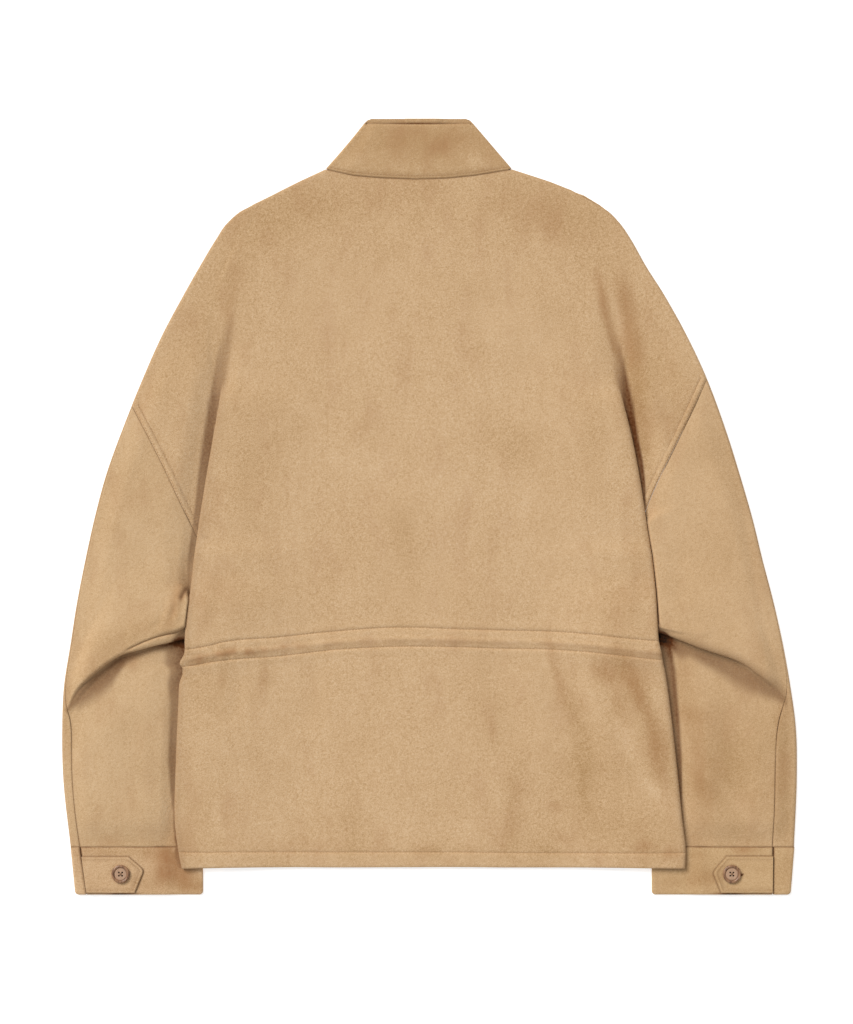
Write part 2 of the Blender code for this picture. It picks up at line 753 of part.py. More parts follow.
class UnderSleeve:
    """The sleeve's upper layer: from the hind seam to the inner seam, folded over at the elbow."""

    def __init__(self, side: Side) -> None:
        self.side = side
        self.first = side.seam_steps[len(SEAM_INSETS) - 1]
        self.shares = tuple((step - self.first) / (1 - self.first)
                            for step in side.seam_steps[len(SEAM_INSETS) - 1:])

    row_count = len(UPPER_ARM_ROWS) + len(FOLD_LINES) + len(FOREARM_ROWS)

    def armhole_line(self, u: float) -> tuple[float, float]:
        """Return a point of the sleeve's upper end, just clear of the body."""
        return self.side.sleeve_end(blend(self.first, 1.0, u))

    def lip(self, u: float) -> tuple[float, float]:
        """Return a point of the elbow fold's lip."""
        y = self.side.elbow(u)
        start = seam_point(self.side, self.side.elbow(0.0), GAP / 2)[0]
        end = self.side.inner(self.side.elbow(1.0))
        return blend(start, end, u), y

    def fold_row(self, u: float, index: int) -> tuple[float, float, float]:
        """Return a point of the cloth folded under the lip."""
        x, lip_y = self.lip(u)
        depth = self.side.elbow_depth(u)
        step = self.side.elbow_step(u)
        spread = blend(3.0, 0.35, ease(0.0, 0.5, u))
        line = FOLD_LINES[index]
        y = lip_y + line.under * depth - spread * (index + 1)
        top = self.side.elbow(0.0)
        along_seam = seam_point(self.side, top - 3.0 * (index + 1), 0.0)[0] - seam_point(self.side, top, 0.0)[0]
        x += along_seam * (1 - u) ** 4
        return x, y, sleeve_height(self.side, x, lip_y) + line.level * step

    def forearm_start(self, u: float) -> tuple[float, float]:
        """Return a point of the forearm's first line, under the lip."""
        x, y, _ = self.fold_row(u, len(FOLD_LINES) - 1)
        return x, y

    def outer(self, top: float, bottom: float) -> Callable[[float], tuple]:
        """Return the outer side between two heights."""
        return lambda t: seam_point(self.side, blend(top, bottom, t), GAP / 2)

    def inner(self, top: float, bottom: float) -> Callable[[float], tuple]:
        """Return the inner side between two heights."""
        return lambda t: (self.side.inner(blend(top, bottom, t)), blend(top, bottom, t))

    def point(self, column: int, row: int) -> tuple[float, float, float]:
        """Return a point of the sheet."""
        u = self.shares[column]
        side = self.side
        if row < len(UPPER_ARM_ROWS):
            t = UPPER_ARM_ROWS[row]
            rows = (self.outer(self.armhole_line(0)[1], side.elbow(0)),
                    self.inner(self.armhole_line(1)[1], side.elbow(1)))
            x, y = patch_point(self.armhole_line, self.lip, rows, u, t)
            from_lip = y - self.lip(u)[1]
            level = side.elbow_depth(u) + 4
            raised = side.elbow_step(u) * (1 - ease(level, level + 30, from_lip))
            return x, y, sleeve_height(side, x, y) + raised - edge_drop(from_lip, side.elbow_step(u) / 4, 2.6)
        row -= len(UPPER_ARM_ROWS)
        if row < len(FOLD_LINES):
            return self.fold_row(u, row)
        t = FOREARM_ROWS[row - len(FOLD_LINES)]
        rows = (self.outer(self.forearm_start(0)[1], CUFF_TOP), self.inner(self.forearm_start(1)[1], CUFF_TOP))
        x, y = patch_point(self.forearm_start, rows_end(rows), rows, u, t)
        return x, y, sleeve_height(side, x, y)

    def make(self, home: bpy.types.Collection) -> None:
        """Make the piece."""
        piece = grid(len(self.shares), self.row_count, self.point)
        cloth("sleeve_" + self.side.name + "_under", [piece], WALL, SUEDE, home)


def rows_end(rows: tuple) -> Callable[[float], tuple]:
    """Return the straight line between the ends of two side curves."""
    outer, inner = rows
    return lambda u: (blend(outer(1)[0], inner(1)[0], u), blend(outer(1)[1], inner(1)[1], u))


class UpperSleeve:
    """The sleeve's lower layer as laid: flat on the surface, round the outer edge, to the hind seam."""

    def __init__(self, under: UnderSleeve) -> None:
        self.side = under.side
        self.first = under.first
        self.shares = tuple(reversed(under.shares))
        heights = [under.point(0, row)[1] for row in range(under.row_count)]
        self.row_shares = tuple((y - heights[0]) / (heights[-1] - heights[0]) for y in heights)
        self.angles = tuple(math.radians(-90 + 180 * step / ROLL_SIDES) for step in range(1, ROLL_SIDES))

    def armhole_line(self, u: float) -> tuple[float, float]:
        """Return a point of the sleeve's upper end on the surface, just clear of the front."""
        return self.side.sleeve_end(blend(self.first, 1.0, u))

    def roll_line(self, t: float) -> tuple[float, float]:
        """Return where the flat part ends and the roll begins."""
        y = blend(self.armhole_line(0)[1], CUFF_TOP, t)
        return self.side.outline(y) - self.side.outward * ROLL, y

    def inner_line(self, t: float) -> tuple[float, float]:
        """Return a point of the inner seam."""
        y = blend(self.armhole_line(1)[1], CUFF_TOP, t)
        return self.side.inner(y), y

    def point(self, column: int, row: int) -> tuple[float, float, float]:
        """Return a point of the sheet."""
        t = self.row_shares[row]
        side = self.side
        if column < len(self.shares):
            rows = (self.roll_line, self.inner_line)
            x, y = patch_point(self.armhole_line, rows_end(rows), rows, self.shares[column], t)
            return x, y, REST
        x, y = self.roll_line(t)
        radius = (self.top(x, y) - REST) / 2
        if column < len(self.shares) + len(self.angles):
            angle = self.angles[column - len(self.shares)]
            out = ROLL * math.cos(angle)
            rise = (side.armhole_top - side.armpit) / side.inset_per_share
            y += rise * (SEAM_INSETS[-1] - ROLL + out) * (1 - t) ** 8
            x = side.outline(y) - side.outward * (ROLL - out)
            return x, y, REST + radius + radius * math.sin(angle)
        x, y = seam_point(side, y, -GAP / 2)
        return x, y, self.top(x, y)

    def top(self, x: float, y: float) -> float:
        """Return the height of the strip above the roll."""
        return sleeve_height(self.side, x, y)

    def make(self, home: bpy.types.Collection) -> None:
        """Make the piece."""
        columns = len(self.shares) + len(self.angles) + 1
        piece = grid(columns, len(self.row_shares), self.point)
        cloth("sleeve_" + self.side.name + "_upper", [piece], WALL, SUEDE, home)


class Stop(NamedTuple):
    """One line of a band that is folded flat: which stretch it is on, and where."""

    stretch: str
    at: float


COLLAR_STOPS = tuple(
    [Stop("under_end", at) for at in (0.0, 0.4, 0.8, 1.0)]
    + [Stop("left_roll", angle) for angle in (45, 90, 135)]
    + [Stop("back", at) for at in (0.0, 0.085, 0.272, 0.5, 0.728, 0.915, 1.0)]
    + [Stop("right_roll", angle) for angle in (135, 90, 45)]
    + [Stop("right_floor", at) for at in (0.0, 0.5)]
    + [Stop("over_end", at) for at in (LAP + 18, LAP + 3, 0.0)]
)
COLLAR_ROWS = (0.0, 0.3, 0.65, 1.0)


def collar_plan(stop: Stop, share: float) -> tuple[float, float, float]:
    """Return a collar line's x and height at a share of the way up, and its share of the front."""
    radius = (COLLAR_BACK - COLLAR_REST) / 2
    left = blend(NECK_LEFT, COLLAR_TOP.left, share) + COLLAR_WALL / 2 + radius
    right = blend(NECK_RIGHT, COLLAR_TOP.right, share) - COLLAR_WALL / 2 - radius
    middle = centre_x(352)
    if stop.stretch == "back":
        return blend(left, right, stop.at), COLLAR_BACK, 0.0
    if stop.stretch == "under_end":
        return blend(middle + LAP / 2, left, stop.at), COLLAR_REST, 1.0
    if stop.stretch == "right_floor":
        return blend(right, middle + LAP / 2 + 18, stop.at), COLLAR_REST, 1.0
    if stop.stretch == "over_end":
        x = middle - LAP / 2 + stop.at
        lift = (COLLAR_WALL + GAP) * (1 - ease(2, 16, x - middle - LAP / 2))
        return x, COLLAR_REST + lift, 1.0
    angle = math.radians(stop.at)
    height = COLLAR_REST + radius * (1 - math.cos(angle))
    out = radius * math.sin(angle)
    x = left - out if stop.stretch == "left_roll" else right + out
    return x, height, 1 - stop.at / 180


def collar_point(column: int, row: int) -> tuple[float, float, float]:
    """Return a point of the collar."""
    share = COLLAR_ROWS[row]
    stop = COLLAR_STOPS[column]
    x, height, front = collar_plan(stop, share)
    seam_x, _, _ = collar_plan(stop, 0.0)
    bottom = polyline(TOP_LINE, seam_x) + 1.4 * GAP + COLLAR_CLEAR * (front > 0)
    top = blend(COLLAR_TOP.back, COLLAR_TOP.front, front)
    return x, blend(bottom, top, share), height


def cuff_height(side: Side, x: float, y: float) -> float:
    """Return the height of a cuff's upper layer."""
    return CUFF_REST + CUFF_LOFT + CUFF_CROWN * ease(2, 24, side.beside(x, y))


CUFF_STOPS = tuple(
    [Stop("strip", 0.0), Stop("outer_roll", 180)]
    + [Stop("outer_roll", angle) for angle in (135, 90, 45)]
    + [Stop("floor", at) for at in (0.0, 0.35, 0.7, 1.0)]
    + [Stop("inner_roll", angle) for angle in (45, 90, 135)]
    + [Stop("top", at) for at in (0.0, 0.1, 0.2, 0.35, 0.6, 1.0)]
)
CUFF_ROWS = (0.0, 0.35, 0.7, 1.0)


def cuff_point(side: Side, column: int, row: int) -> tuple[float, float, float]:
    """Return a point of a cuff."""
    share = CUFF_ROWS[row]
    stop = CUFF_STOPS[column]
    y = blend(CUFF_TOP - GAP, CUFF_BOTTOM, share)
    outer, slit, inner = (blend(a, b, share) for a, b in zip(*CUFFS[side.name]))
    if stop.stretch == "strip":
        x = slit + side.outward * GAP / 2
        return x, y, cuff_height(side, x, y)
    outer_radius = (cuff_height(side, outer, y) - CUFF_REST) / 2
    inner_radius = CUFF_LOFT / 2
    outer_x = outer - side.outward * (CUFF_WALL / 2 + outer_radius)
    inner_x = inner + side.outward * (CUFF_WALL / 2 + inner_radius)
    if stop.stretch == "floor":
        return blend(outer_x, inner_x, stop.at), y, CUFF_REST
    if stop.stretch == "top":
        x = blend(inner_x, slit - side.outward * GAP / 2, stop.at)
        return x, y, cuff_height(side, x, y)
    angle = math.radians(stop.at)
    if stop.stretch == "outer_roll":
        x = outer_x + side.outward * outer_radius * math.sin(angle)
        return x, y, CUFF_REST + outer_radius * (1 - math.cos(angle))
    x = inner_x - side.outward * inner_radius * math.sin(angle)
    return x, y, CUFF_REST + inner_radius * (1 - math.cos(angle))


TAB_SHARES = (0.0, 0.35, 0.7, 0.88, 1.0)


def tab_point(side: Side, column: int, row: int) -> tuple[float, float, float]:
    """Return a point of a cuff tab, moved out from the cuff."""
    tab = TABS[side.name]
    end, y = ((tab.upper, tab.top), (tab.tip, tab.point), (tab.lower, CUFF_BOTTOM + TAB_INSET))[row]
    share = (y - CUFF_TOP) / (CUFF_BOTTOM - CUFF_TOP)
    slit = blend(CUFFS[side.name][0].slit, CUFFS[side.name][1].slit, share)
    x = blend(slit - side.outward * GAP, end, TAB_SHARES[column])
    return x, y, cuff_height(side, x, y) + CUFF_WALL / 2 + SEAT + WALL / 2


def make_button(side: Side, home: bpy.types.Collection, guides: bpy.types.Collection) -> None:
    """Make a four-hole button: a turned disc with a raised rim, drilled through."""
    top = BUTTON_THICK
    floor = top - BUTTON_DISH
    profile = ((0.0, floor), (BUTTON_RADIUS - BUTTON_RIM - 1.2, floor), (BUTTON_RADIUS - BUTTON_RIM, top),
               (BUTTON_RADIUS - 0.8, top), (BUTTON_RADIUS, top - 0.9), (BUTTON_RADIUS, 0.9),
               (BUTTON_RADIUS - 0.9, 0.0), (0.0, 0.0))
    mesh = bmesh.new()
    points = [mesh.verts.new(Vector((x, 0.0, z)) * MM) for x, z in profile]
    for start, end in zip(points, points[1:]):
        mesh.edges.new((start, end))
    name = "button_" + side.name
    data = bpy.data.meshes.new(name)
    mesh.to_mesh(data)
    mesh.free()
    data.materials.append(material(name, HORN, 0.35))
    button = bpy.data.objects.new(name, data)
    home.objects.link(button)
    turned = button.modifiers.new("Turned", "SCREW")
    turned.steps = BUTTON_SIDES
    turned.render_steps = BUTTON_SIDES
    turned.use_merge_vertices = True
    turned.merge_threshold = 0.00001
    turned.use_smooth_shade = False

    drill = bmesh.new()
    for across in (-1, 1):
        for along in (-1, 1):
            made = bmesh.ops.create_cone(drill, cap_ends=True, segments=8, radius1=BUTTON_HOLE * MM,
                                         radius2=BUTTON_HOLE * MM, depth=3 * BUTTON_THICK * MM)
            place = Vector((across * BUTTON_HOLE_SPREAD, along * BUTTON_HOLE_SPREAD, 0.0)) * MM
            bmesh.ops.translate(drill, verts=made["verts"], vec=place)
    drill_data = bpy.data.meshes.new(name + "_drill")
    drill.to_mesh(drill_data)
    drill.free()
    cutter = bpy.data.objects.new(name + "_drill", drill_data)
    guides.objects.link(cutter)
    cutter.hide_render = True
    cutter.display_type = "WIRE"
    holes = button.modifiers.new("Holes", "BOOLEAN")
    holes.operation = "DIFFERENCE"
    holes.object = cutter

    x = TABS[side.name].button
    seat = cuff_height(side, x, BUTTON_Y) + CUFF_WALL / 2 + SEAT + WALL + SEAT
    button.location = Vector((x, BUTTON_Y, seat)) * MM
    cutter.location = button.location


def main() -> None:
    """Clear the scene and make the jacket."""
    for old in list(bpy.data.objects):
        bpy.data.objects.remove(old)
    home = bpy.data.collections.new("suede_jacket")
    guides = bpy.data.collections.new("cutters")
    for collection in (home, guides):
        bpy.context.scene.collection.children.link(collection)

    make_back(home)
    for side in (LEFT, RIGHT):
        make_front(side, home)
        under = UnderSleeve(side)
        under.make(home)
        UpperSleeve(under).make(home)
        cuff = grid(len(CUFF_STOPS), len(CUFF_ROWS),
                    lambda column, row, side=side: cuff_point(side, column, row))
        cloth("cuff_" + side.name, [cuff], CUFF_WALL, SUEDE, home)
        tab = grid(len(TAB_SHARES), 3, lambda column, row, side=side: tab_point(side, column, row))
        cloth("cuff_tab_" + side.name, [tab], WALL, SUEDE, home)
        make_button(side, home, guides)
    collar = grid(len(COLLAR_STOPS), len(COLLAR_ROWS), collar_point)
    cloth("collar", [collar], COLLAR_WALL, SUEDE_SHADE, home)


main()
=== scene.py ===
"""Dress the laid suede jacket: cut pieces with their folds, sewing, horn buttons and studio.

Frame: metres, +Z up, +X towards the jacket's right side, +Y from the hem to the collar. Tables and
sizes are in millimetres from the middle of the laid jacket, and are turned to metres as a mesh is built.
"""

from __future__ import annotations

import logging
import math
from dataclasses import dataclass, field
from enum import Enum
from functools import partial
from typing import Any, Callable, NamedTuple, Sequence

import bmesh
import bpy
import numpy as np
from mathutils import Matrix, Vector, noise

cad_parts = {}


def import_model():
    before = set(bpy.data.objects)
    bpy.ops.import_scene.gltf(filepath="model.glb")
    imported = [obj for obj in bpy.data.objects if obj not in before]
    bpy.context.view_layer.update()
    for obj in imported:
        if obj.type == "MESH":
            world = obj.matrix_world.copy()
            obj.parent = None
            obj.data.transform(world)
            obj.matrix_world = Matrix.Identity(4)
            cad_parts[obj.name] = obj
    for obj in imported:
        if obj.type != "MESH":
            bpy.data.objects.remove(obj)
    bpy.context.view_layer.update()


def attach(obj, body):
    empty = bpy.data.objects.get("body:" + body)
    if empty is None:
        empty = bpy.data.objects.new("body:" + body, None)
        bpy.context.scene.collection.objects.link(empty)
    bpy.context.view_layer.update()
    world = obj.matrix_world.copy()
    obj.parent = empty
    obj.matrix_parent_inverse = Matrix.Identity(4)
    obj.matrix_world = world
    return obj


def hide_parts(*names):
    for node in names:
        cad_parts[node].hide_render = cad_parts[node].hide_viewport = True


log = logging.getLogger("jacket")
Array = np.ndarray
Value = float | Array                    # one number, or one for each point
Curve = Callable[[Value], Value]
Pair = tuple[Value, Value]
Points = tuple[Array, Array, Array]
Place = Callable[[Array, Array], Points]
Material = bpy.types.Material
Piece = bpy.types.Object

MM = 0.001

# Sizes shared by the pieces, in millimetres.
WALL = 1.2              # suede
COLLAR_WALL = 2.0       # two plies
CUFF_WALL = 1.8
GAP = 0.3               # between sewn pieces
REST = WALL / 2         # middle of a wall that lies on the surface
LOFT = 5.25             # between the middles of a sleeve's two layers, where flat
ROLL = 2.85             # how far in from an edge the cloth rolls over
ROLL_GAP = 0.8          # between two rolled edges that meet
UNDER_BACK = 4.75       # a front below the back where both lie over a tucked sleeve
LAP = 30.0              # one front over the other
LAP_LIFT = WALL + GAP
COLLAR_BACK = 5.6       # back half of the collar
COLLAR_SEAM = 1.4 * GAP  # collar's lower edge above the neck seam
COLLAR_ROW = 3.0        # its row of stitches above that
COLLAR_CLEAR = 0.7      # more room along the hidden neck seam
COLLAR_FOOT = 352.0     # height of the middle of the neck seam
CUFF_LOFT = 2.3         # between the middles of a cuff's two layers, where tucked
CUFF_CROWN = 1.7        # how much more it rises in its middle
CUFF_BOTTOM = -416.5
CUFF_TOP = -366.0
ARMPIT_CLEARANCE = 1.2  # a front drawn in at the armpit
SEAM_SHIFT = (0.36, -0.19)  # a sleeve's upper end from the armhole seam: out, and down
SEAT = 0.3              # a tab on its cuff, a button on its tab
TAB_BOTTOM = CUFF_BOTTOM + 1.5
TAB_ROW = 3.0           # a tab's row of stitches in from its edge
BUTTON_Y = -394.5
BUTTON_RADIUS = 9.8
BUTTON_THICK = 3.2
TOPSTITCH = 6.6         # topstitching from the armhole seam
EDGE_OFFSETS = (0.0, 0.06, 0.25, 0.6, 1.2, 2.0, ROLL, 4.2, 6.5)  # rings of points where an edge rolls over


def rows_of(kind: type, *values: tuple[float, ...]) -> list[Any]:
    """Return a table's values as rows of a kind."""
    return [kind(*value) for value in values]


class Both(NamedTuple):
    """A line's place on the left side and on the right, by height or by share of its length."""

    at: float
    left: float
    right: float


# Outer edge of the laid jacket: shoulders, then sleeves.
OUTLINE = rows_of(
    Both,
    (362, -112, 89), (349, -140, 129), (334, -170, 167), (319, -200, 190), (304, -218, 205),
    (288, -229, 216), (258, -247, 233), (228, -264, 252), (183, -288, 277), (138, -308, 298),
    (78, -332, 320), (33, -348, 334), (-12, -360, 347), (-57, -370, 358), (-103, -379, 370),
    (-148, -386, 380), (-193, -393, 388), (-238, -395, 394), (-290, -394, 395), (-366, -386, 392))
# Side of the body, which lies over the sleeve, and the line of its pleat above the armpit.
BODY_EDGE = rows_of(
    Both,
    (341, -155, 151), (265, -193, 181), (197, -214, 194), (133, -222, 203), (74, -232.1, 217.2),
    (28, -240, 226), (-16, -247, 232.6), (-60, -253, 239.3), (-90, -256.2, 242.4), (-122, -260.4, 244.2),
    (-142, -262, 245.2), (-158, -262.6, 248.5), (-169, -267.5, 250.5), (-175, -264, 252),
    (-190, -268, 254.5), (-208, -269, 257), (-278, -272, 265), (-337, -273, 271), (-365, -270, 274.4),
    (-391, -265, 274))
# Armhole seam, by share of its length from the outline to the armpit.
ARMHOLE = rows_of(
    Both,
    (0, -319.5, 298), (0.25, -300.5, 281), (0.5, -282.5, 263.5), (0.75, -266, 246), (1, -248.5, 231))
ARMHOLE_TOP = {"left": 108.0, "right": 137.0}
ARMPIT = {"left": -36.0, "right": -8.0}

# Height of the elbow fold, by share across from the hind seam to the inner seam.
ELBOW = rows_of(
    Both,
    (0, -216, -204), (0.05, -200, -195.5), (0.1, -191, -189.8), (0.15, -184.5, -184.8),
    (0.22, -176, -177.5), (0.3, -167.3, -168.8), (0.4, -158.8, -162), (0.5, -154.5, -157),
    (0.62, -149.6, -150.8), (0.75, -145, -143), (0.85, -141.6, -137.2), (1, -136, -131))
# Inner edge of the sleeve, tucked under the body.
INNER_EDGE = rows_of(
    Both,
    (-8, -256, 232.5), (-22, -254, 230), (-36, -248, 229), (-52, -239, 229), (-80, -236, 230),
    (-140, -240, 231), (-240, -240, 236), (-366, -244, 239))
# How far the sleeve's hind seam lies in from the outline.
HIND_SEAM = rows_of(
    Both,
    (140, 1.4, 1.4), (-150, 1.4, 1.4), (-190, 1.8, 3), (-205, 2.6, 6.5), (-216, 4.4, 11.5), (-229, 8.2, 17),
    (-243, 9.9, 20.6), (-265, 10, 23), (-337, 9.2, 23.2), (-366, 9.6, 23))
SEAM_START = 1.4        # sleeve's hind seam from the outline, at its upper end


class Pleat(NamedTuple):
    """Pleat between the body and the dropped shoulder, and the body's step over the sleeve."""

    y: float
    depth: float     # how far the cloth is folded under
    step: float      # body above the cloth beside it
    dip: float       # how low the cloth beside it sinks
    roll: float      # drop of the body's edge
    spread: float    # spacing of the pleat's lines where it is open
    puff: float      # how much prouder the body stands along its edge


PLEAT = rows_of(
    Pleat,
    (362, 0, 0, 0, 0, 5, 0), (215, 0, 0, 0, 0, 5, 0.2), (165, 0, 0.5, 1, 0.1, 3.4, 1.4),
    (135, 0, 2.2, 2.6, 0.4, 2, 3.4), (110, 2, 4.2, 3, 1, 1.2, 5), (40, 12, 4.4, 3.3, 1.1, 0.6, 5),
    (-8, 18, 4.9, 3.3, 1.2, 0.3, 3.5), (-36, 18, 5.2, 3.3, 1.3, 0.3, 2.5), (-50, 18, 7, 3.3, 1.9, 0.3, 2),
    (-62, 18, 7.2, 3.3, 2.1, 0.3, 2), (-76, 18, 7.4, 3.3, 2.1, 0.3, 2), (-92, 18, 9.4, 3.3, 2.1, 0.3, 1.4),
    (-106, 18, 11, 3.3, 2.1, 0.3, 1), (-152, 18, 11, 3.3, 2.1, 0.3, 1), (-176, 18, 7.6, 3.3, 2.1, 0.3, 2.5),
    (-200, 18, 7.2, 3.3, 2.1, 0.3, 3), (-391, 18, 7.2, 3.3, 2.1, 0.3, 1.2))


class FoldLine(NamedTuple):
    """One line of folded-under cloth, from its lip to the cloth beneath."""

    under: float     # share of the depth
    level: float     # share of the step


FOLD_LINES = rows_of(
    FoldLine,
    (0.3, 0.5), (0.75, 0.5), (1, 0.25), (0.75, 0), (0.3, 0))


class Neck(NamedTuple):
    """Neck seam, from the top of one shoulder to the other's."""

    x: float
    y: float


NECK = rows_of(
    Neck,
    (-111.4, 362), (-82, 355.5), (-53, 353), (-15, 351.5), (18, 352.5), (49, 355.5), (88.4, 362))
SHOULDER_TIP = 317.0
PLEAT_TOP = {"left": -155.0, "right": 151.0}


class Level(NamedTuple):
    """Heights across the back, by x: the waist channel's two rows, the hem's, and its edge."""

    x: float
    upper: float
    lower: float
    stitch: float
    edge: float


LEVELS = rows_of(
    Level,
    (-272, -156, -172, -371, -389.2), (-258, -153, -171, -371, -388.2),
    (-243, -150.5, -168.3, -371.3, -387.6), (-217, -144.5, -164.5, -371, -387.4),
    (-163, -140.3, -160.7, -371.2, -387), (-100, -133.9, -153.6, -371.4, -387.4),
    (-37, -129.8, -150.4, -371.4, -387.2), (36, -131.7, -151, -371.4, -387),
    (76, -132.8, -152.4, -372, -387.4), (125, -133.9, -153.3, -372.2, -387.4),
    (170, -136.6, -155.9, -372.2, -387.4), (206, -140.6, -159.8, -372.2, -387.6),
    (249, -144.5, -164.5, -372, -388), (276, -146, -166, -371.6, -388.4))


class HollowShade(NamedTuple):
    """Shade painted in the hollow beside the body's edge."""

    y: float
    width: float
    near: float      # how dark the painted shade is beside the edge
    far: float       # how dark the painted shade is at its outer side


# How wide and how dark the shade painted beside each side's body edge is, by height.
PAINTED_HOLLOW_SHADE = {
    "left": rows_of(
        HollowShade,
        (205, 6, 0, 0), (179, 7, 0.18, 0.14), (157, 10.5, 0.26, 0.4), (136, 11.3, 0.4, 0.6),
        (114, 12.3, 0.64, 0.7), (93, 11.8, 0.68, 0.7), (71, 11.2, 0.74, 0.68), (50, 10.6, 0.68, 0.68),
        (28, 9.6, 0.6, 0.62), (7, 8, 0.56, 0.6), (-15, 7.4, 0.54, 0.56), (-36, 7.4, 0.52, 0.6),
        (-58, 7.6, 0.44, 0.46), (-72, 6.2, 0.3, 0.38), (-84, 4.8, 0.3, 0.45), (-92, 4.4, 0.35, 0.75),
        (-100, 3, 0, 0), (-122, 2.4, 0, 0), (-133, 6, 0.15, 0.25), (-139, 11, 0.7, 0.55),
        (-144, 14, 1.45, 1), (-148, 15, 1.4, 0.95), (-153, 24, 0.92, 0.46), (-165, 18, 0.8, 0.42),
        (-187, 14, 0.72, 0.46), (-208, 9.8, 0.56, 0.44), (-240, 9.2, 0.5, 0.58), (-273, 9.2, 0.6, 0.64),
        (-305, 5.8, 0.62, 0.58), (-330, 2.8, 0.45, 0.4), (-352, 3, 0.6, 0.55), (-364, 3, 0.7, 0.6),
        (-376, 6, 0.4, 0.3), (-392, 4, 0.3, 0.25)),
    "right": rows_of(
        HollowShade,
        (212, 6, 0, 0), (190, 6, 0.08, 0.08), (179, 7, 0.2, 0.16), (157, 9.6, 0.22, 0.6),
        (136, 10.8, 0.46, 0.94), (114, 10.9, 0.8, 1), (93, 8.8, 0.9, 1.08), (71, 7.2, 0.9, 1.06),
        (50, 7.3, 0.78, 1), (28, 5.9, 0.76, 0.96), (7, 3.4, 0.7, 0.74), (-15, 1.9, 0.2, 0.2),
        (-36, 1.2, 0, 0), (-52, 1.2, 0.1, 0.1), (-64, 1.4, 0.5, 0.45), (-80, 2, 0.9, 0.8),
        (-122, 2.4, 1.2, 1.1), (-131, 4, 0.3, 0.2), (-135, 10, 1.1, 1), (-140, 15, 1.35, 1.2),
        (-146, 13.6, 1.1, 1.5), (-152, 13.4, 0.4, 1.2), (-165, 12.6, 0.26, 0.94), (-187, 11, 0.36, 0.92),
        (-208, 9.9, 0.4, 0.92), (-240, 8.6, 0.3, 0.9), (-273, 7, 0.46, 0.86), (-305, 4, 0.58, 0.74),
        (-337, 2.2, 0.45, 0.45), (-366, 1.5, 0.3, 0.3), (-392, 1.4, 0.25, 0.25)),
}


class Lip(NamedTuple):
    """Elbow fold's lip at one place across: the crease above it, its roll, and the shadow painted in the
    hollow beneath.
    """

    x: float
    crease: float    # how far above the lip
    roll: float      # how far in from the lip the cloth rolls over
    width: float     # of the painted shadow in the hollow
    # how dark the painted shadow in the hollow is
    dark: float
    line: float      # how much darker the painted shadow is right beneath the lip


LIPS = {
    "left": rows_of(
        Lip,
        (-391, 0, 3, 5, 0.4, 0), (-387.5, 0, 4, 9, 0.5, 0), (-382, 0, 5, 17, 0.6, 0),
        (-375.7, 0, 4.4, 24, 0.6, -0.15), (-367, 0, 4.2, 26, 0.6, -0.28), (-358.5, 0, 4, 28, 0.6, -0.34),
        (-350, 0, 4, 29, 0.61, -0.34), (-341, 0, 4, 27, 0.66, -0.26), (-337, 0.5, 4, 22, 0.69, -0.2),
        (-332.7, 1.5, 4, 18.5, 0.7, -0.2), (-325, 2.9, 3.4, 11, 0.64, -0.35),
        (-315.5, 5.4, 4.2, 8.5, 0.56, -0.32), (-306, 7.1, 5, 7.4, 0.5, -0.26),
        (-294, 8.5, 5.8, 6.5, 0.5, 0.1), (-286, 8.9, 6, 8, 0.58, 0.4), (-280, 8.9, 6, 10, 0.62, 0.7),
        (-272.5, 8.8, 6, 11, 0.76, 0.75), (-264, 10.5, 6, 12, 0.9, 0.7), (-244, 11, 6, 12, 0.9, 0.6)),
    "right": rows_of(
        Lip,
        (236, 0, 3, 14, 1.45, 0), (254, 0, 3, 14, 1.45, 0), (259, 0, 3, 13, 1.25, 0),
        (263, 0, 4, 17, 0.8, -0.1), (269, 0, 5, 20, 0.58, -0.25), (274, 0, 6, 18, 0.54, -0.28),
        (280, 0, 6, 14, 0.54, -0.28), (291, 0, 6, 16.5, 0.56, -0.34), (303.7, 0, 6, 19, 0.58, -0.36),
        (316.6, 0, 6, 23, 0.54, -0.34), (329.5, 0, 6, 27.5, 0.51, -0.32), (342.4, 0, 6, 26, 0.51, -0.26),
        (353, 0, 6, 21.5, 0.52, -0.12), (364, 0, 5.5, 19, 0.54, -0.05), (374.6, 0, 5, 14.5, 0.52, 0),
        (383, 0, 4, 11, 0.5, 0), (390, 0, 3, 4, 0.35, 0)),
}
# Heights between which the sleeve comes to lie close against the body, and how far out it has then risen.
TIGHT = {"left": (-80.0, -100.0), "right": (2.0, -18.0)}
CLOSE = {"left": 1.7, "right": 3.2}
# How much painted shade darkens the cloth above the elbow fold's lip, and along the body's rolled edge.
LIP_PAINTED_SHADE = {"left": 0.0, "right": 0.30}
EDGE_PAINTED_SHADE = {"left": 0.25, "right": 0.15}


class Crease(NamedTuple):
    """Soft ridge (height above 0) or trough (below 0) between two points, bowed to one side."""

    x0: float
    y0: float
    x1: float
    y1: float
    bow: float
    width: float
    height: float


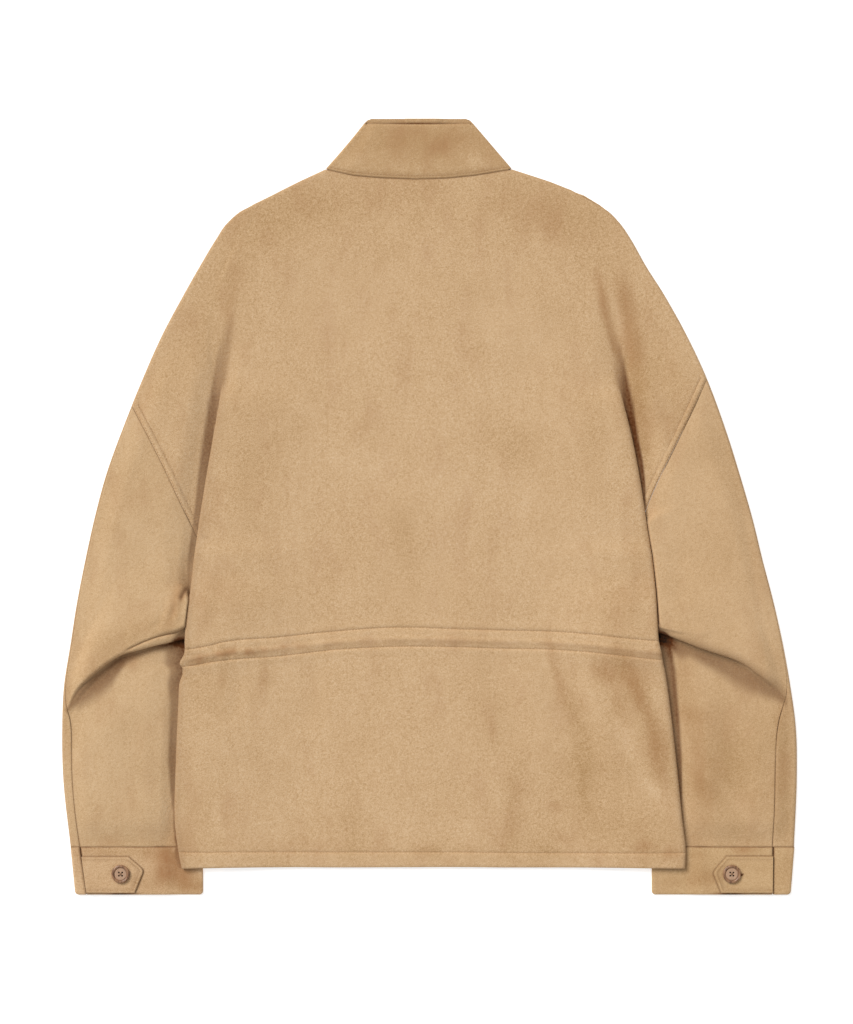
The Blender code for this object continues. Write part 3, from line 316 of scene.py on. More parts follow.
BACK_CREASES = rows_of(
    Crease,
    (-212, 190, -236, 120, 4, 13, -1.2), (196, 225, 186, 120, 6, 16, -1.4),
    (214, 190, 240, 96, -3, 12, 0.9), (-224, -150, -213, -163, 1, 2.6, -1.1),
    (-231, -152, -222, -166, 1, 2.6, 0.8), (-184, -146, -180, -160, 1, 2.4, -0.9),
    (-246, -157, -238, -171, 1, 2.2, -0.8), (-152, -141, -146, -157, 1, 3, -0.5),
    (120, -136, 126, -152, 1, 3.5, -0.5), (176, -139, 184, -155, 1, 3, -0.6),
    (-205, -171, -214, -232, 3, 9, -0.7), (-120, -160, -132, -240, 2, 13, -0.6),
    (60, -160, 92, -262, 4, 15, -0.7), (104, -158, 138, -280, -3, 14, 0.7),
    (168, -165, 214, -290, -6, 17, 0.9), (196, -240, 258, -330, -5, 13, -1),
    (150, -225, 226, -350, 7, 16, -0.7), (-60, -70, 40, -96, 5, 34, -0.7), (-40, 20, -10, -60, 5, 30, 0.6),
    (-150, 250, -60, 180, 8, 40, -0.7), (60, 240, 140, 160, -8, 38, -0.7),
    (-236, -60, -246, -126, 2, 8, 0.7), (222, -70, 236, -128, -2, 9, -0.6))
SLEEVE_CREASES = {
    "left": rows_of(
        Crease,
        (-259, -86, -267, -101, -1, 2.6, -2.6), (-268, -103, -279, -120, 1.5, 4.2, -1),
        (-268, -92, -271, -122, 0, 3.2, 1.3), (-276, -98, -288, -124, 2, 4.5, 0.8),
        (-282, -106, -296, -132, 2, 4.5, -0.8), (-270, -56, -276, -92, 2, 7, -0.8),
        (-352, -52, -362, -150, -3, 14, -0.8), (-330, 10, -322, -110, 5, 30, 0.9),
        (-318, -210, -300, -320, 4, 24, -0.8), (-350, -214, -352, -330, 3, 18, 0.7)),
    "right": rows_of(
        Crease,
        (262, -126, 300, -136, -3, 7, 0.9), (344, 0, 388, -208, -5, 4.5, 0.45),
        (336, 4, 380, -206, -5, 6, -0.4), (266, -40, 262, -110, 3, 14, -0.9),
        (300, 40, 318, -110, 4, 30, 0.8), (300, -190, 286, -330, 3, 16, 0.9),
        (318, -200, 330, -330, -5, 18, -0.9), (286, -300, 340, -352, 6, 10, -0.6),
        (350, -236, 352, -330, 3, 12, 0.7)),
}


class Mark(NamedTuple):
    """Where the nap lies darker (above 0) or paler (below 0), or where shade or a highlight is painted: an
    oval, turned by an angle in degrees.
    """

    x: float
    y: float
    along: float
    across: float
    turn: float
    strength: float
    ruddy: float = 0.0   # share of its darkness that is red


BACK_MARKS = rows_of(
    Mark,
    (-110, 322, 90, 24, 14, 0.26, 0.3), (120, 318, 76, 28, -14, 0.3, 0.35),
    (-10, 326, 190, 44, 0, 0.14, 0.1), (-178, 300, 66, 34, 44, 0.26, 0.1),
    (166, 296, 66, 34, -44, 0.28, 0.1), (-250, 190, 96, 30, 62, 0.3, 0.1),
    (258, 124, 90, 30, -64, 0.32, 0.2), (-158, 100, 24, 28, 0, 0.2), (-196, 40, 75, 28, 90, 0.24),
    # Shade painted down the right pleat, tinted red; the pale oval among them is a painted highlight on the
    # ridge between.
    (188, 214, 34, 4.5, -80, 0.8, 0.5), (197, 180, 26, 4.5, -74, 0.55, 0.5),
    (210, 226, 32, 10, -84, 0.55, 0.35), (218, 178, 42, 11, -80, 0.62, 0.35),
    (220, 122, 36, 14, -80, 0.95, 0.22), (230, 66, 34, 10, -80, 0.6, 0.15), (204, 198, 30, 4.5, -78, -0.42),
    # Shade painted down the left pleat, tinted red.
    (-214, 214, 26, 6, 84, 0.26, 0.4), (-218, 168, 26, 5, 82, 0.34, 0.7),
    (-29, -28, 36, 13, -80, 0.34, 0.1), (94, 66, 34, 24, 0, 0.24), (178, 60, 60, 14, -84, 0.24, 0.3),
    (40, 18, 54, 26, 0, -0.2), (-72, 44, 46, 18, 0, -0.16), (40, 110, 80, 40, 0, -0.1),
    (200, -108, 26, 26, 0, 0.36, 0.3), (228, -60, 50, 9, 86, 0.22, 0.3), (-236, -112, 36, 11, 80, 0.3, 0.4),
    (-198, -96, 50, 30, 0, 0.12), (215, -180, 34, 9, -68, 0.62, 0.35), (188, -178, 36, 14, -8, 0.36, 0.3),
    (240, -262, 60, 22, -76, 0.3, 0.2), (229, -212, 28, 7, -69, 0.45, 0.4),
    (245, -262, 46, 9, -76, 0.36, 0.4), (238, -236, 42, 10, -68, 0.4, 0.4),
    (251, -286, 36, 9, -82, 0.22, 0.4), (206, -170, 22, 16, -30, 0.34, 0.4), (186, -285, 54, 34, -70, 0.26),
    (128, -332, 60, 26, 80, 0.22), (98, -288, 48, 12, 86, 0.22, 0.2), (236, -372, 34, 14, 0, 0.28, 0.2),
    (191, -180, 14, 17, 0, 0.26, 0.4), (136, -176, 32, 5, -78, 0.45, 0.4),
    (155, -222, 28, 10, -72, 0.46, 0.1), (166, -290, 50, 12, -86, 0.46), (203, -213, 17, 20, 0, 0.44, 0.1),
    # The first two pale ovals here are a highlight painted along a ridge.
    (214, -258, 46, 7, -66, -0.3), (250, -312, 28, 7, -46, -0.35), (172, -196, 30, 9, -72, -0.25),
    (215, -348, 50, 28, 0, 0.42, 0.1), (233, -364, 12, 6, 0, 0.4, 0.7), (260, -372, 10, 9, 0, 0.6, 0.8),
    (68, -242, 17, 5, 90, 0.36, 0.6), (136, -322, 10, 6, 0, 0.36, 0.7), (142, -356, 11, 7, 0, 0.32, 0.6),
    (87, -330, 42, 8, 90, 0.3), (130, -370, 16, 6, -20, 0.36), (-3, -370, 14, 6, 0, 0.34),
    (60, -230, 90, 24, 92, 0.14, 0.2), (-82, -345, 36, 11, 90, 0.26), (-150, -366, 110, 10, 0, 0.18, 0.3),
    (60, -368, 110, 9, 0, 0.14, 0.2), (-247, -340, 40, 14, 90, 0.16, 0.2),
    (-219, -156, 10, 5, 10, 0.7, 0.5), (-193, -157, 12, 4, 5, 0.55, 0.5),
    (-246, -167, 15, 3.5, 8, 0.6, 0.5), (-221, -182, 20, 7, 80, 0.55, 0.5),
    (-176, -180, 22, 7, 84, 0.45, 0.5), (-246, -186, 26, 12, 90, 0.24, 0.2),
    (-262, -366, 20, 10, 90, 0.45, 0.7))
COLLAR_MARKS = rows_of(
    Mark,
    (8, 385, 15, 9, 20, 0.55, 0.7), (-18, 402, 24, 8, 0, 0.6, 0.6), (-38, 388, 26, 9, 0, 0.3, 0.4),
    (30, 398, 26, 9, 0, 0.22, 0.3), (0, 392, 70, 14, 0, 0.2, 0.3), (54, 370, 24, 7, -18, -0.42),
    (-79, 370, 22, 7, 14, -0.34), (-20, 364, 60, 5, 0, -0.16))
SLEEVE_MARKS = {
    "left": rows_of(
        Mark,
        (-330, 20, 70, 26, 66, 0.16), (-390, -240, 50, 8, 90, 0.22, 0.3),
        (-256, -340, 40, 9, 90, 0.32, 0.6), (-352, -170, 50, 16, 38, 0.36, 0.2),
        # The second oval here is shade painted in the puckers by the body's edge.
        (-312, -134, 60, 15, 14, 0.4, 0.1), (-270, -100, 30, 8, 74, 0.7, 0.5),
        (-318, -168, 20, 8, 12, 0.4, 0.7), (-312, -362, 60, 8, 0, 0.2, 0.3),
        (-274, -356, 12, 18, 0, 0.6, 0.6)),
    "right": rows_of(
        Mark,
        (318, 60, 60, 30, -64, 0.18), (322, -276, 90, 52, 90, 0.36, 0.1),
        (281, -230, 84, 11, 94, 0.26, 0.3), (270, -184, 40, 12, 90, 0.34, 0.3),
        (292, -297, 26, 20, -30, 0.26, 0.4), (284, -226, 12, 14, 90, 0.34, 0.4),
        (326, -268, 70, 44, 80, 0.24), (334, -322, 84, 8, -47, -0.22), (380, -283, 80, 10, 90, 0.6, 0.3),
        (334, -353, 50, 16, 0, 0.25, 0.1), (339, -240, 40, 14, 100, -0.14),
        (296, -312, 40, 8, 100, 0.2, 0.6), (300, -60, 90, 40, 70, 0.1)),
}
CUFF_MARKS = {
    "left": rows_of(
        Mark,
        (-280, -378, 14, 14, 0, 1.2, 0.6), (-282, -395, 9, 13, 90, 0.95, 0.6),
        (-262, -392, 13, 18, 0, 0.75, 0.55), (-256, -408, 22, 8, 0, 0.85, 0.3),
        (-300, -405, 22, 9, 0, 0.45, 0.3), (-292, -372, 20, 8, 0, 0.4, 0.4),
        (-340, -371, 40, 5, 0, 0.5, 0.2), (-346, -396, 50, 22, 0, 0.12, 0.1)),
    "right": rows_of(
        Mark,
        (291, -392, 18, 14, 0, 0.34, 0.1), (339, -369, 12, 4, 0, 0.7, 0.6), (286, -375, 16, 5, 0, 0.3, 0.1),
        (262, -404, 30, 6, 0, 0.26, 0.2), (298, -399, 14, 8, 0, 0.45, 0.2), (380, -391, 8, 20, 0, 0.22),
        (352, -388, 16, 6, -12, 0.2, 0.2), (270, -379, 26, 5, 0, -0.25)),
}


class Tab(NamedTuple):
    """Pointed cuff tab: where its upper edge, its point and its lower edge end."""

    upper: float
    tip: float
    lower: float
    top: float
    point: float
    button: float
    hole: float      # how far from the button's middle its buttonhole ends


TABS = {
    "left": Tab(upper=-323.5, tip=-307.0, lower=-317.0, top=-376.5, point=-390.5, button=-331.5, hole=9.0),
    "right": Tab(upper=319.5, tip=304.5, lower=313.5, top=-376.0, point=-393.0, button=324.5, hole=12.6),
}


class CuffEdge(NamedTuple):
    """Outer edge, slit and inner edge of a cuff."""

    outer: float
    slit: float
    inner: float


# Each cuff's edges at its seam, then at its lower edge.
CUFFS = {
    "left": (CuffEdge(-386.0, -375.5, -243.5), CuffEdge(-381.0, -368.5, -243.5)),
    "right": (CuffEdge(392.5, 369.5, 239.0), CuffEdge(388.5, 369.0, 239.0)),
}


def blend(start: Value, end: Value, share: Value) -> Value:
    """Return the value a share of the way from start to end."""
    return start + (end - start) * share


def ease(low: Value, high: Value, value: Value) -> Value:
    """Rise smoothly from 0 at low to 1 at high, whichever of the two is the greater."""
    share = np.clip((value - low) / (high - low), 0.0, 1.0)
    return share * share * (3 - 2 * share)


def dome(inset: Value, width: Value) -> Value:
    """Rise from 0 at an edge to 1 at a width in from it, as a quarter circle does."""
    share = 1 - np.clip(inset / width, 0.0, 1.0)
    return np.sqrt(1 - share * share)


def bell(distance: Value, width: Value) -> Value:
    """Return 1 at no distance, falling away smoothly over a width."""
    return np.exp(-np.square(distance / width))


def curve(table: Sequence[NamedTuple], column: str) -> Curve:
    """Return a smooth function through a table's values, level beyond its ends.

    Args:
        table: rows whose first column says where each value stands.
        column: the column of the values.

    Returns:
        The function.
    """
    ordered = sorted(table)
    keys = np.array([row[0] for row in ordered], dtype=float)
    values = np.array([getattr(row, column) for row in ordered], dtype=float)
    slopes = np.diff(values) / np.diff(keys)
    tangents = np.concatenate([slopes[:1], (slopes[1:] + slopes[:-1]) / 2, slopes[-1:]])

    def read(at: Value) -> Value:
        """Return the value at a place.

        Args:
            at: the place, or an array of places.

        Returns:
            One value for each.
        """
        at = np.clip(at, keys[0], keys[-1])
        index = np.clip(np.searchsorted(keys, at) - 1, 0, len(slopes) - 1)
        width = keys[index + 1] - keys[index]
        t = (at - keys[index]) / width
        return ((2 * t**3 - 3 * t**2 + 1) * values[index]
                + (t**3 - 2 * t**2 + t) * width * tangents[index]
                + (3 * t**2 - 2 * t**3) * values[index + 1]
                + (t**3 - t**2) * width * tangents[index + 1])

    return read


def straight(table: Sequence[NamedTuple], column: str) -> Curve:
    """Return a function that joins a column's values with straight lines.

    Args:
        table: rows whose first column says where each value stands.
        column: the column of the values.

    Returns:
        The function.
    """
    ordered = sorted(table)
    keys = [row[0] for row in ordered]
    values = [getattr(row, column) for row in ordered]
    return lambda at: np.interp(at, keys, values)


def crease_relief(creases: Sequence[Crease], x: Array, y: Array) -> Array:
    """Return how far a set of creases raises the cloth.

    Args:
        creases: the creases.
        x, y: places across and up.

    Returns:
        One height for each place.
    """
    total = np.zeros_like(x)
    for c in creases:
        long = math.hypot(c.x1 - c.x0, c.y1 - c.y0)
        ax, ay = (c.x1 - c.x0) / long, (c.y1 - c.y0) / long
        along = ((x - c.x0) * ax + (y - c.y0) * ay) / long
        across = (x - c.x0) * -ay + (y - c.y0) * ax
        bowed = across - c.bow * 4 * along * (1 - along)
        fade = ease(-0.12, 0.25, along) * ease(1.12, 0.75, along)
        total += c.height * fade * bell(bowed, c.width)
    return total


def crease_shade(creases: Sequence[Crease], x: Array, y: Array) -> Array:
    """Return the shade painted in the sharper troughs."""
    sharp = [c for c in creases if c.height < -1.2 and c.width < 5]
    return np.clip(-0.26 * crease_relief(sharp, x, y), 0, 1)


def nap_marks(marks: Sequence[Mark], x: Array, y: Array) -> tuple[Array, Array]:
    """Return how dark, and how red, the nap lies.

    Args:
        marks: where it was brushed, and where shade or a highlight is painted.
        x, y: places across and up.

    Returns:
        The darkness and the redness of each place.
    """
    dark, red = np.zeros_like(x), np.zeros_like(x)
    for m in marks:
        angle = math.radians(m.turn)
        along = (x - m.x) * math.cos(angle) + (y - m.y) * math.sin(angle)
        across = (y - m.y) * math.cos(angle) - (x - m.x) * math.sin(angle)
        there = m.strength * np.exp(-np.square(along / m.along) - np.square(across / m.across))
        dark += there * (1 - m.ruddy)
        red += there * m.ruddy
    return dark, red


def waver(x: Array, y: Array, size: float, seed: float) -> Array:
    """Return smooth noise between -1 and 1.

    Args:
        x, y: places across and up.
        size: width of its features in millimetres.
        seed: where in the noise it is read.

    Returns:
        One value for each place.
    """
    flat = np.column_stack([np.ravel(x), np.ravel(y)]) / size
    made = [noise.noise(Vector((a, b, seed))) for a, b in flat]
    return np.array(made).reshape(np.shape(x))


pleat = {name: curve(PLEAT, name) for name in Pleat._fields[1:]}
level = {name: curve(LEVELS, name) for name in Level._fields[1:]}


@dataclass
class Side:
    """One side of the laid jacket: its edge lines, and the heights of the cloth beside them."""

    name: str                   # "left" or "right"
    outward: int                # -1 or 1, towards the sleeve
    elbow_fold: float = 20.0    # how far the forearm is folded under the upper arm at the inner seam
    elbow_rise: float = 4.4     # how high the upper arm lies over it there
    shoulder_puff: float = 3.4  # how far the dropped shoulder swells beyond its pleat

    def __post_init__(self) -> None:
        """Read this side's lines from the tables, and find where the sleeve's hind seam starts."""
        self.rim = curve(OUTLINE, self.name)
        self.edge = curve(BODY_EDGE, self.name)
        self.armhole_x = curve(ARMHOLE, self.name)
        self.elbow = curve(ELBOW, self.name)
        self.inner = curve(INNER_EDGE, self.name)
        self.hind = curve(HIND_SEAM, self.name)
        self.armhole_top = ARMHOLE_TOP[self.name]
        self.armpit = ARMPIT[self.name]
        self.hollow = {column: straight(PAINTED_HOLLOW_SHADE[self.name], column) for column in HollowShade._fields[1:]}
        self.fold = {column: straight(LIPS[self.name], column) for column in Lip._fields[1:]}
        probe = 0.03
        self.inset_per_share = float(self.inset(*self.armhole(probe)) / probe)
        self.sleeve_start = SEAM_START / self.inset_per_share
        x, y = self.sleeve_end(self.sleeve_start)
        self.hind_top = float(y)
        self.hind_shift = float((self.outline(y) - x) * self.outward - GAP / 2 - self.hind(y))

    def outline(self, y: Value) -> Value:
        """Return the middle of the wall at the jacket's outer edge."""
        return self.rim(y) - self.outward * WALL / 2

    def armhole(self, t: Value) -> Pair:
        """Return the armhole seam's point at a share of its length."""
        start = self.outline(self.armhole_top) - self.armhole_x(0.0)
        return self.armhole_x(t) + start * (1 - ease(0.0, 0.2, t)), blend(self.armhole_top, self.armpit, t)

    def sleeve_end(self, t: Value) -> Pair:
        """Return a point of the sleeve's upper end, just clear of the armhole seam."""
        x, y = self.armhole(t)
        return x + self.outward * SEAM_SHIFT[0], y + SEAM_SHIFT[1]

    def from_armhole(self, x: Value, y: Value) -> Value:
        """Return the distance from the armhole seam.

        Args:
            x, y: places across and up.

        Returns:
            Distances, above 0 on the sleeve's side.
        """
        t = (y - self.armhole_top) / (self.armpit - self.armhole_top)
        seam = self.armhole_x(np.clip(t, 0, 1))
        slope = (self.armhole_x(1.0) - self.armhole_x(0.0)) / (self.armpit - self.armhole_top)
        return (x - seam) * self.outward / math.hypot(1, slope)

    def inset(self, x: Value, y: Value) -> Value:
        """Return the distance in from the outline."""
        slope = (self.outline(y + 1) - self.outline(y - 1)) / 2
        return (self.outline(y) - x) * self.outward / np.hypot(1, slope)

    def beside(self, x: Value, y: Value) -> Value:
        """Return the distance out from the body's edge."""
        return (x - self.edge(y)) * self.outward

    def hollow_shade(self, x: Array, y: Array) -> Array:
        """Return the shade painted in the hollow beside the body's edge, and along that edge.

        Args:
            x, y: places across and up.

        Returns:
            One darkness for each place.
        """
        beside = self.beside(x, y)
        width, near, far = (self.hollow[column](y) for column in ("width", "near", "far"))
        outer_side = 1 - ease(0.78 * width, 1.22 * width, beside)
        within = blend(near, far, np.clip(beside / width, 0, 1)) * outer_side
        open_pleat = ease(112, 138, y)
        # Painted shade along the body's rolled edge.
        rolled = EDGE_PAINTED_SHADE[self.name] * (1 - ease(0, 9, -beside))
        soft = np.maximum(near * (1 - ease(0, 6, -beside)) * open_pleat, rolled * ease(230, 170, y))
        return np.where(beside > 0.04, within, soft)

    def tight(self, y: Value) -> Value:
        """Return 1 where the sleeve lies close against the body's edge, 0 where there is a hollow."""
        return ease(*TIGHT[self.name], y) * ease(-138, -128, y)

    def upper_height(self, x: Value, y: Value) -> Value:
        """Return the height of the dropped shoulder's or the sleeve's upper layer, without its puff."""
        start, end = blend(4, 0.4, self.tight(y)), blend(38, CLOSE[self.name], self.tight(y))
        return REST + LOFT - pleat["dip"](y) * (1 - ease(start, end, self.beside(x, y)))

    def body_height(self, y: Value) -> Value:
        """Return the height of the back panel along the body's edge, before its edge rolls over."""
        return self.upper_height(self.edge(y), y) + pleat["step"](y)

    def rim_drop(self, x: Value, y: Value) -> Value:
        """Return how far the back panel rolls down at the outline."""
        return (LOFT - ROLL_GAP) / 2 * (1 - dome(self.inset(x, y), ROLL))

    def shoulder_height(self, x: Array, y: Array) -> Array:
        """Return the height of the dropped shoulder, from the pleat's recess to the outline's roll.

        Args:
            x, y: places across and up.

        Returns:
            One height for each place.
        """
        recess = ease(185, 110, y)
        puff = self.shoulder_puff * recess * ease(5, 34, self.beside(x, y)) * ease(0, 26, self.inset(x, y))
        seam = self.from_armhole(x, y)
        sewn = (0.55 * bell(seam + TOPSTITCH / 2, 2.6) - 0.55 * bell(seam + TOPSTITCH, 1.1)
                - 0.5 * bell(seam, 1.2))
        sewn = sewn * ease(self.armhole_top + 22, self.armhole_top - 6, y)
        creased = crease_relief(BACK_CREASES, x, y) * dome(self.inset(x, y), 12)
        return self.upper_height(x, y) + puff - self.rim_drop(x, y) + sewn + creased

    def elbow_depth(self, u: Value) -> Value:
        """Return how far the forearm is folded under the upper arm."""
        return self.elbow_fold * ease(0.08, 0.9, u)

    def elbow_step(self, u: Value) -> Value:
        """Return how high the upper arm lies over the forearm where it is tucked under the body."""
        return self.elbow_rise * ease(0.0, 0.16, u)

    def seam_x(self, y: Value, gap: float) -> Value:
        """Return the hind seam's x, a little to the body's side of it or to the outer side."""
        inset = self.hind(y) + self.hind_shift * ease(self.hind_top - 90, self.hind_top, y)
        return self.outline(y) - self.outward * (inset + gap)

    def cuff_height(self, x: Value, y: Value) -> Value:
        """Return the height of a cuff's upper layer."""
        return CUFF_WALL / 2 + CUFF_LOFT + CUFF_CROWN * ease(2, 20, self.beside(x, y))


LEFT = Side("left", -1)
RIGHT = Side("right", 1)
SIDES = (LEFT, RIGHT)
TIP_HEIGHTS = (SHOULDER_TIP, 325.0, 334.0, 349.0)
TOP_X = np.array([LEFT.outline(y) for y in TIP_HEIGHTS] + [n.x for n in NECK]
                 + [RIGHT.outline(y) for y in reversed(TIP_HEIGHTS)])
TOP_Y = np.array(list(TIP_HEIGHTS) + [n.y for n in NECK] + list(reversed(TIP_HEIGHTS)))


def top_line(x: Value) -> Value:
    """Return the height of the shoulders and the neck seam between them."""
    return np.interp(x, TOP_X, TOP_Y)


def centre_x(y: Value) -> Value:
    """Return the jacket's centre front."""
    return blend(4.5, -11.5, ease(-389, 352, y))


CENTRE = centre_x(COLLAR_FOOT)


def from_offsets(offsets: Sequence[float], width: float) -> list[float]:
    """Return distances from an edge as shares of a width."""
    return [offset / width for offset in offsets]


@dataclass
class Sheet:
    """A cut piece of cloth: open grids that are joined, given a thickness and a finish."""

    name: str
    node: str                   # the solid it stands for
    wall: float                 # its thickness in millimetres
    flat: tuple[float, float]   # width and length of its cut, in metres
    share: float                # how much of that rectangle the cut fills
    rests_on: tuple[str, ...]   # what it lies on
    marks: Sequence[Mark] = ()  # where its nap was brushed, and on some pieces where shade or a highlight is painted
    # Painted shade at each place in plan, in folds, hollows and under lips, with the dark lines along
    # seams.
    shade: Callable[[Array, Array], Array] | None = None
    flush: Callable[[Array, Array], Array] | None = None  # how much redder it is there
    shade_below: bool = False   # whether its layer on the surface gets the painted shade too
    grids: list[bmesh.types.BMesh] = field(default_factory=list)  # the open grids so far

    def add_grid(self, columns: int, rows: int, place: Place) -> None:
        """Add an open grid.

        Args:
            columns: how many points across.
            rows: how many points down.
            place: where it puts the points, by their columns and rows.
        """
        made = bmesh.new()
        bmesh.ops.create_grid(made, x_segments=columns - 1, y_segments=rows - 1, size=1.0)
        made.verts.ensure_lookup_table()
        plan = np.array([(v.co.x, v.co.y) for v in made.verts])
        column = np.rint((plan[:, 0] + 1) / 2 * (columns - 1)).astype(int)
        row = np.rint((plan[:, 1] + 1) / 2 * (rows - 1)).astype(int)
        points = np.column_stack(np.broadcast_arrays(*place(column, row)))
        for vert, point in zip(made.verts, points):
            vert.co = Vector(point) * MM
        self.grids.append(made)

    def join(self) -> bpy.types.Mesh:
        """Join the grids where they meet.

        Returns:
            The whole sheet's mesh.
        """
        whole = bmesh.new()
        for made in self.grids:
            part = bpy.data.meshes.new("part")
            made.to_mesh(part)
            made.free()
            whole.from_mesh(part)
            bpy.data.meshes.remove(part)
        bmesh.ops.remove_doubles(whole, verts=whole.verts, dist=0.00001)
        bmesh.ops.recalc_face_normals(whole, faces=whole.faces)
        data = bpy.data.meshes.new(self.name)
        whole.to_mesh(data)
        whole.free()
        data.shade_smooth()
        return data

    def brush(self, data: bpy.types.Mesh) -> None:
        """Write where the nap lies dark or red, and the painted shade, as the mesh's attributes.

        Args:
            data: the sheet's mesh.
        """
        place = np.empty(len(data.vertices) * 3)
        data.vertices.foreach_get("co", place)
        place = place.reshape(-1, 3) / MM
        x, y = place[:, 0], place[:, 1]
        # The fold attribute holds the painted shade, with the dark lines along seams.
        fold = np.clip(self.shade(x, y), 0, 2) if self.shade else np.zeros_like(x)
        if not self.shade_below:
            fold = fold * (place[:, 2] > self.wall)
        nap, ruddy = nap_marks(self.marks, x, y)
        if self.flush:
            ruddy = ruddy + self.flush(x, y)
        for name, values in zip(("nap", "ruddy", "fold"), (nap, ruddy, fold)):
            data.attributes.new(name, "FLOAT", "POINT").data.foreach_set("value", values.astype(np.float32))

    def build(self, finish: Material) -> Piece:
        """Join the grids into one sheet and dress it.

        Args:
            finish: its material.

        Returns:
            The finished piece.
        """
        data = self.join()
        self.brush(data)
        data.materials.append(finish)
        piece = bpy.data.objects.new(self.name, data)
        bpy.context.scene.collection.objects.link(piece)
        thick = piece.modifiers.new("Wall", "SOLIDIFY")
        thick.thickness = self.wall * MM
        thick.offset = 0.0
        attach(piece, "root")
        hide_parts(self.node)
        return piece

    def declare(self, piece: Piece, sewn_on: Sequence[Piece] = ()) -> list[Piece]:
        """State the piece as a sheet of cloth.

        Args:
            piece: the piece.
            sewn_on: what is sewn on it.

        Returns:
            The piece, then what is sewn on it.
        """
        return [piece, *sewn_on]


class Line(Enum):
    """Lines across the back, from the shoulders to the hem."""

    TOP = "top"
    CORNER = "corner"
    ARMPIT = "armpit"
    UPPER = "upper"
    LOWER = "lower"
    STITCH = "stitch"
    EDGE = "edge"


class Row(NamedTuple):
    """A row of points across the back, between two lines."""

    start: Line
    end: Line
    share: float             # how far from the first to the second
    offset: float = 0.0      # millimetres up from there
    fine: float = 0.0        # share along the shoulder or the armhole seam, at its end


def seam_shade(x: Array, y: Array) -> Array:
    """Return how dark the nap lies along the back's own rows of stitches and its neck seam.

    Args:
        x, y: places across and up.

    Returns:
        One darkness for each place.
    """
    total = np.zeros_like(x)
    for name, dark in (("upper", 0.10), ("lower", 0.14), ("stitch", 0.10)):
        total = np.maximum(total, dark * bell(y - level[name](x), 0.8))
    within = (x > NECK[0].x) & (x < NECK[-1].x)
    return np.maximum(total, 0.6 * bell(top_line(x) - y, 0.9) * within)


def channel_flush(x: Array, y: Array) -> Array:
    """Return how much redder the nap is along the lower side of the cord in the waist channel, in patches
    towards its left end.

    Args:
        x, y: places across and up.

    Returns:
        One redness for each place.
    """
    into = (level["upper"](x) - y) / (level["upper"](x) - level["lower"](x))
    towards_left_end = ease(-60, -170, x)
    blots = ease(-0.16, 0.14, waver(x, y * 0.6, 13, 21.0) + 0.3 * waver(x, y, 4, 23.0))
    patchy = blend(0.65, 0.25 + 1.3 * blots, towards_left_end)
    return np.clip(0.27 * bell(into - blend(0.72, 0.62, towards_left_end), 0.20) * patchy, 0, 1)


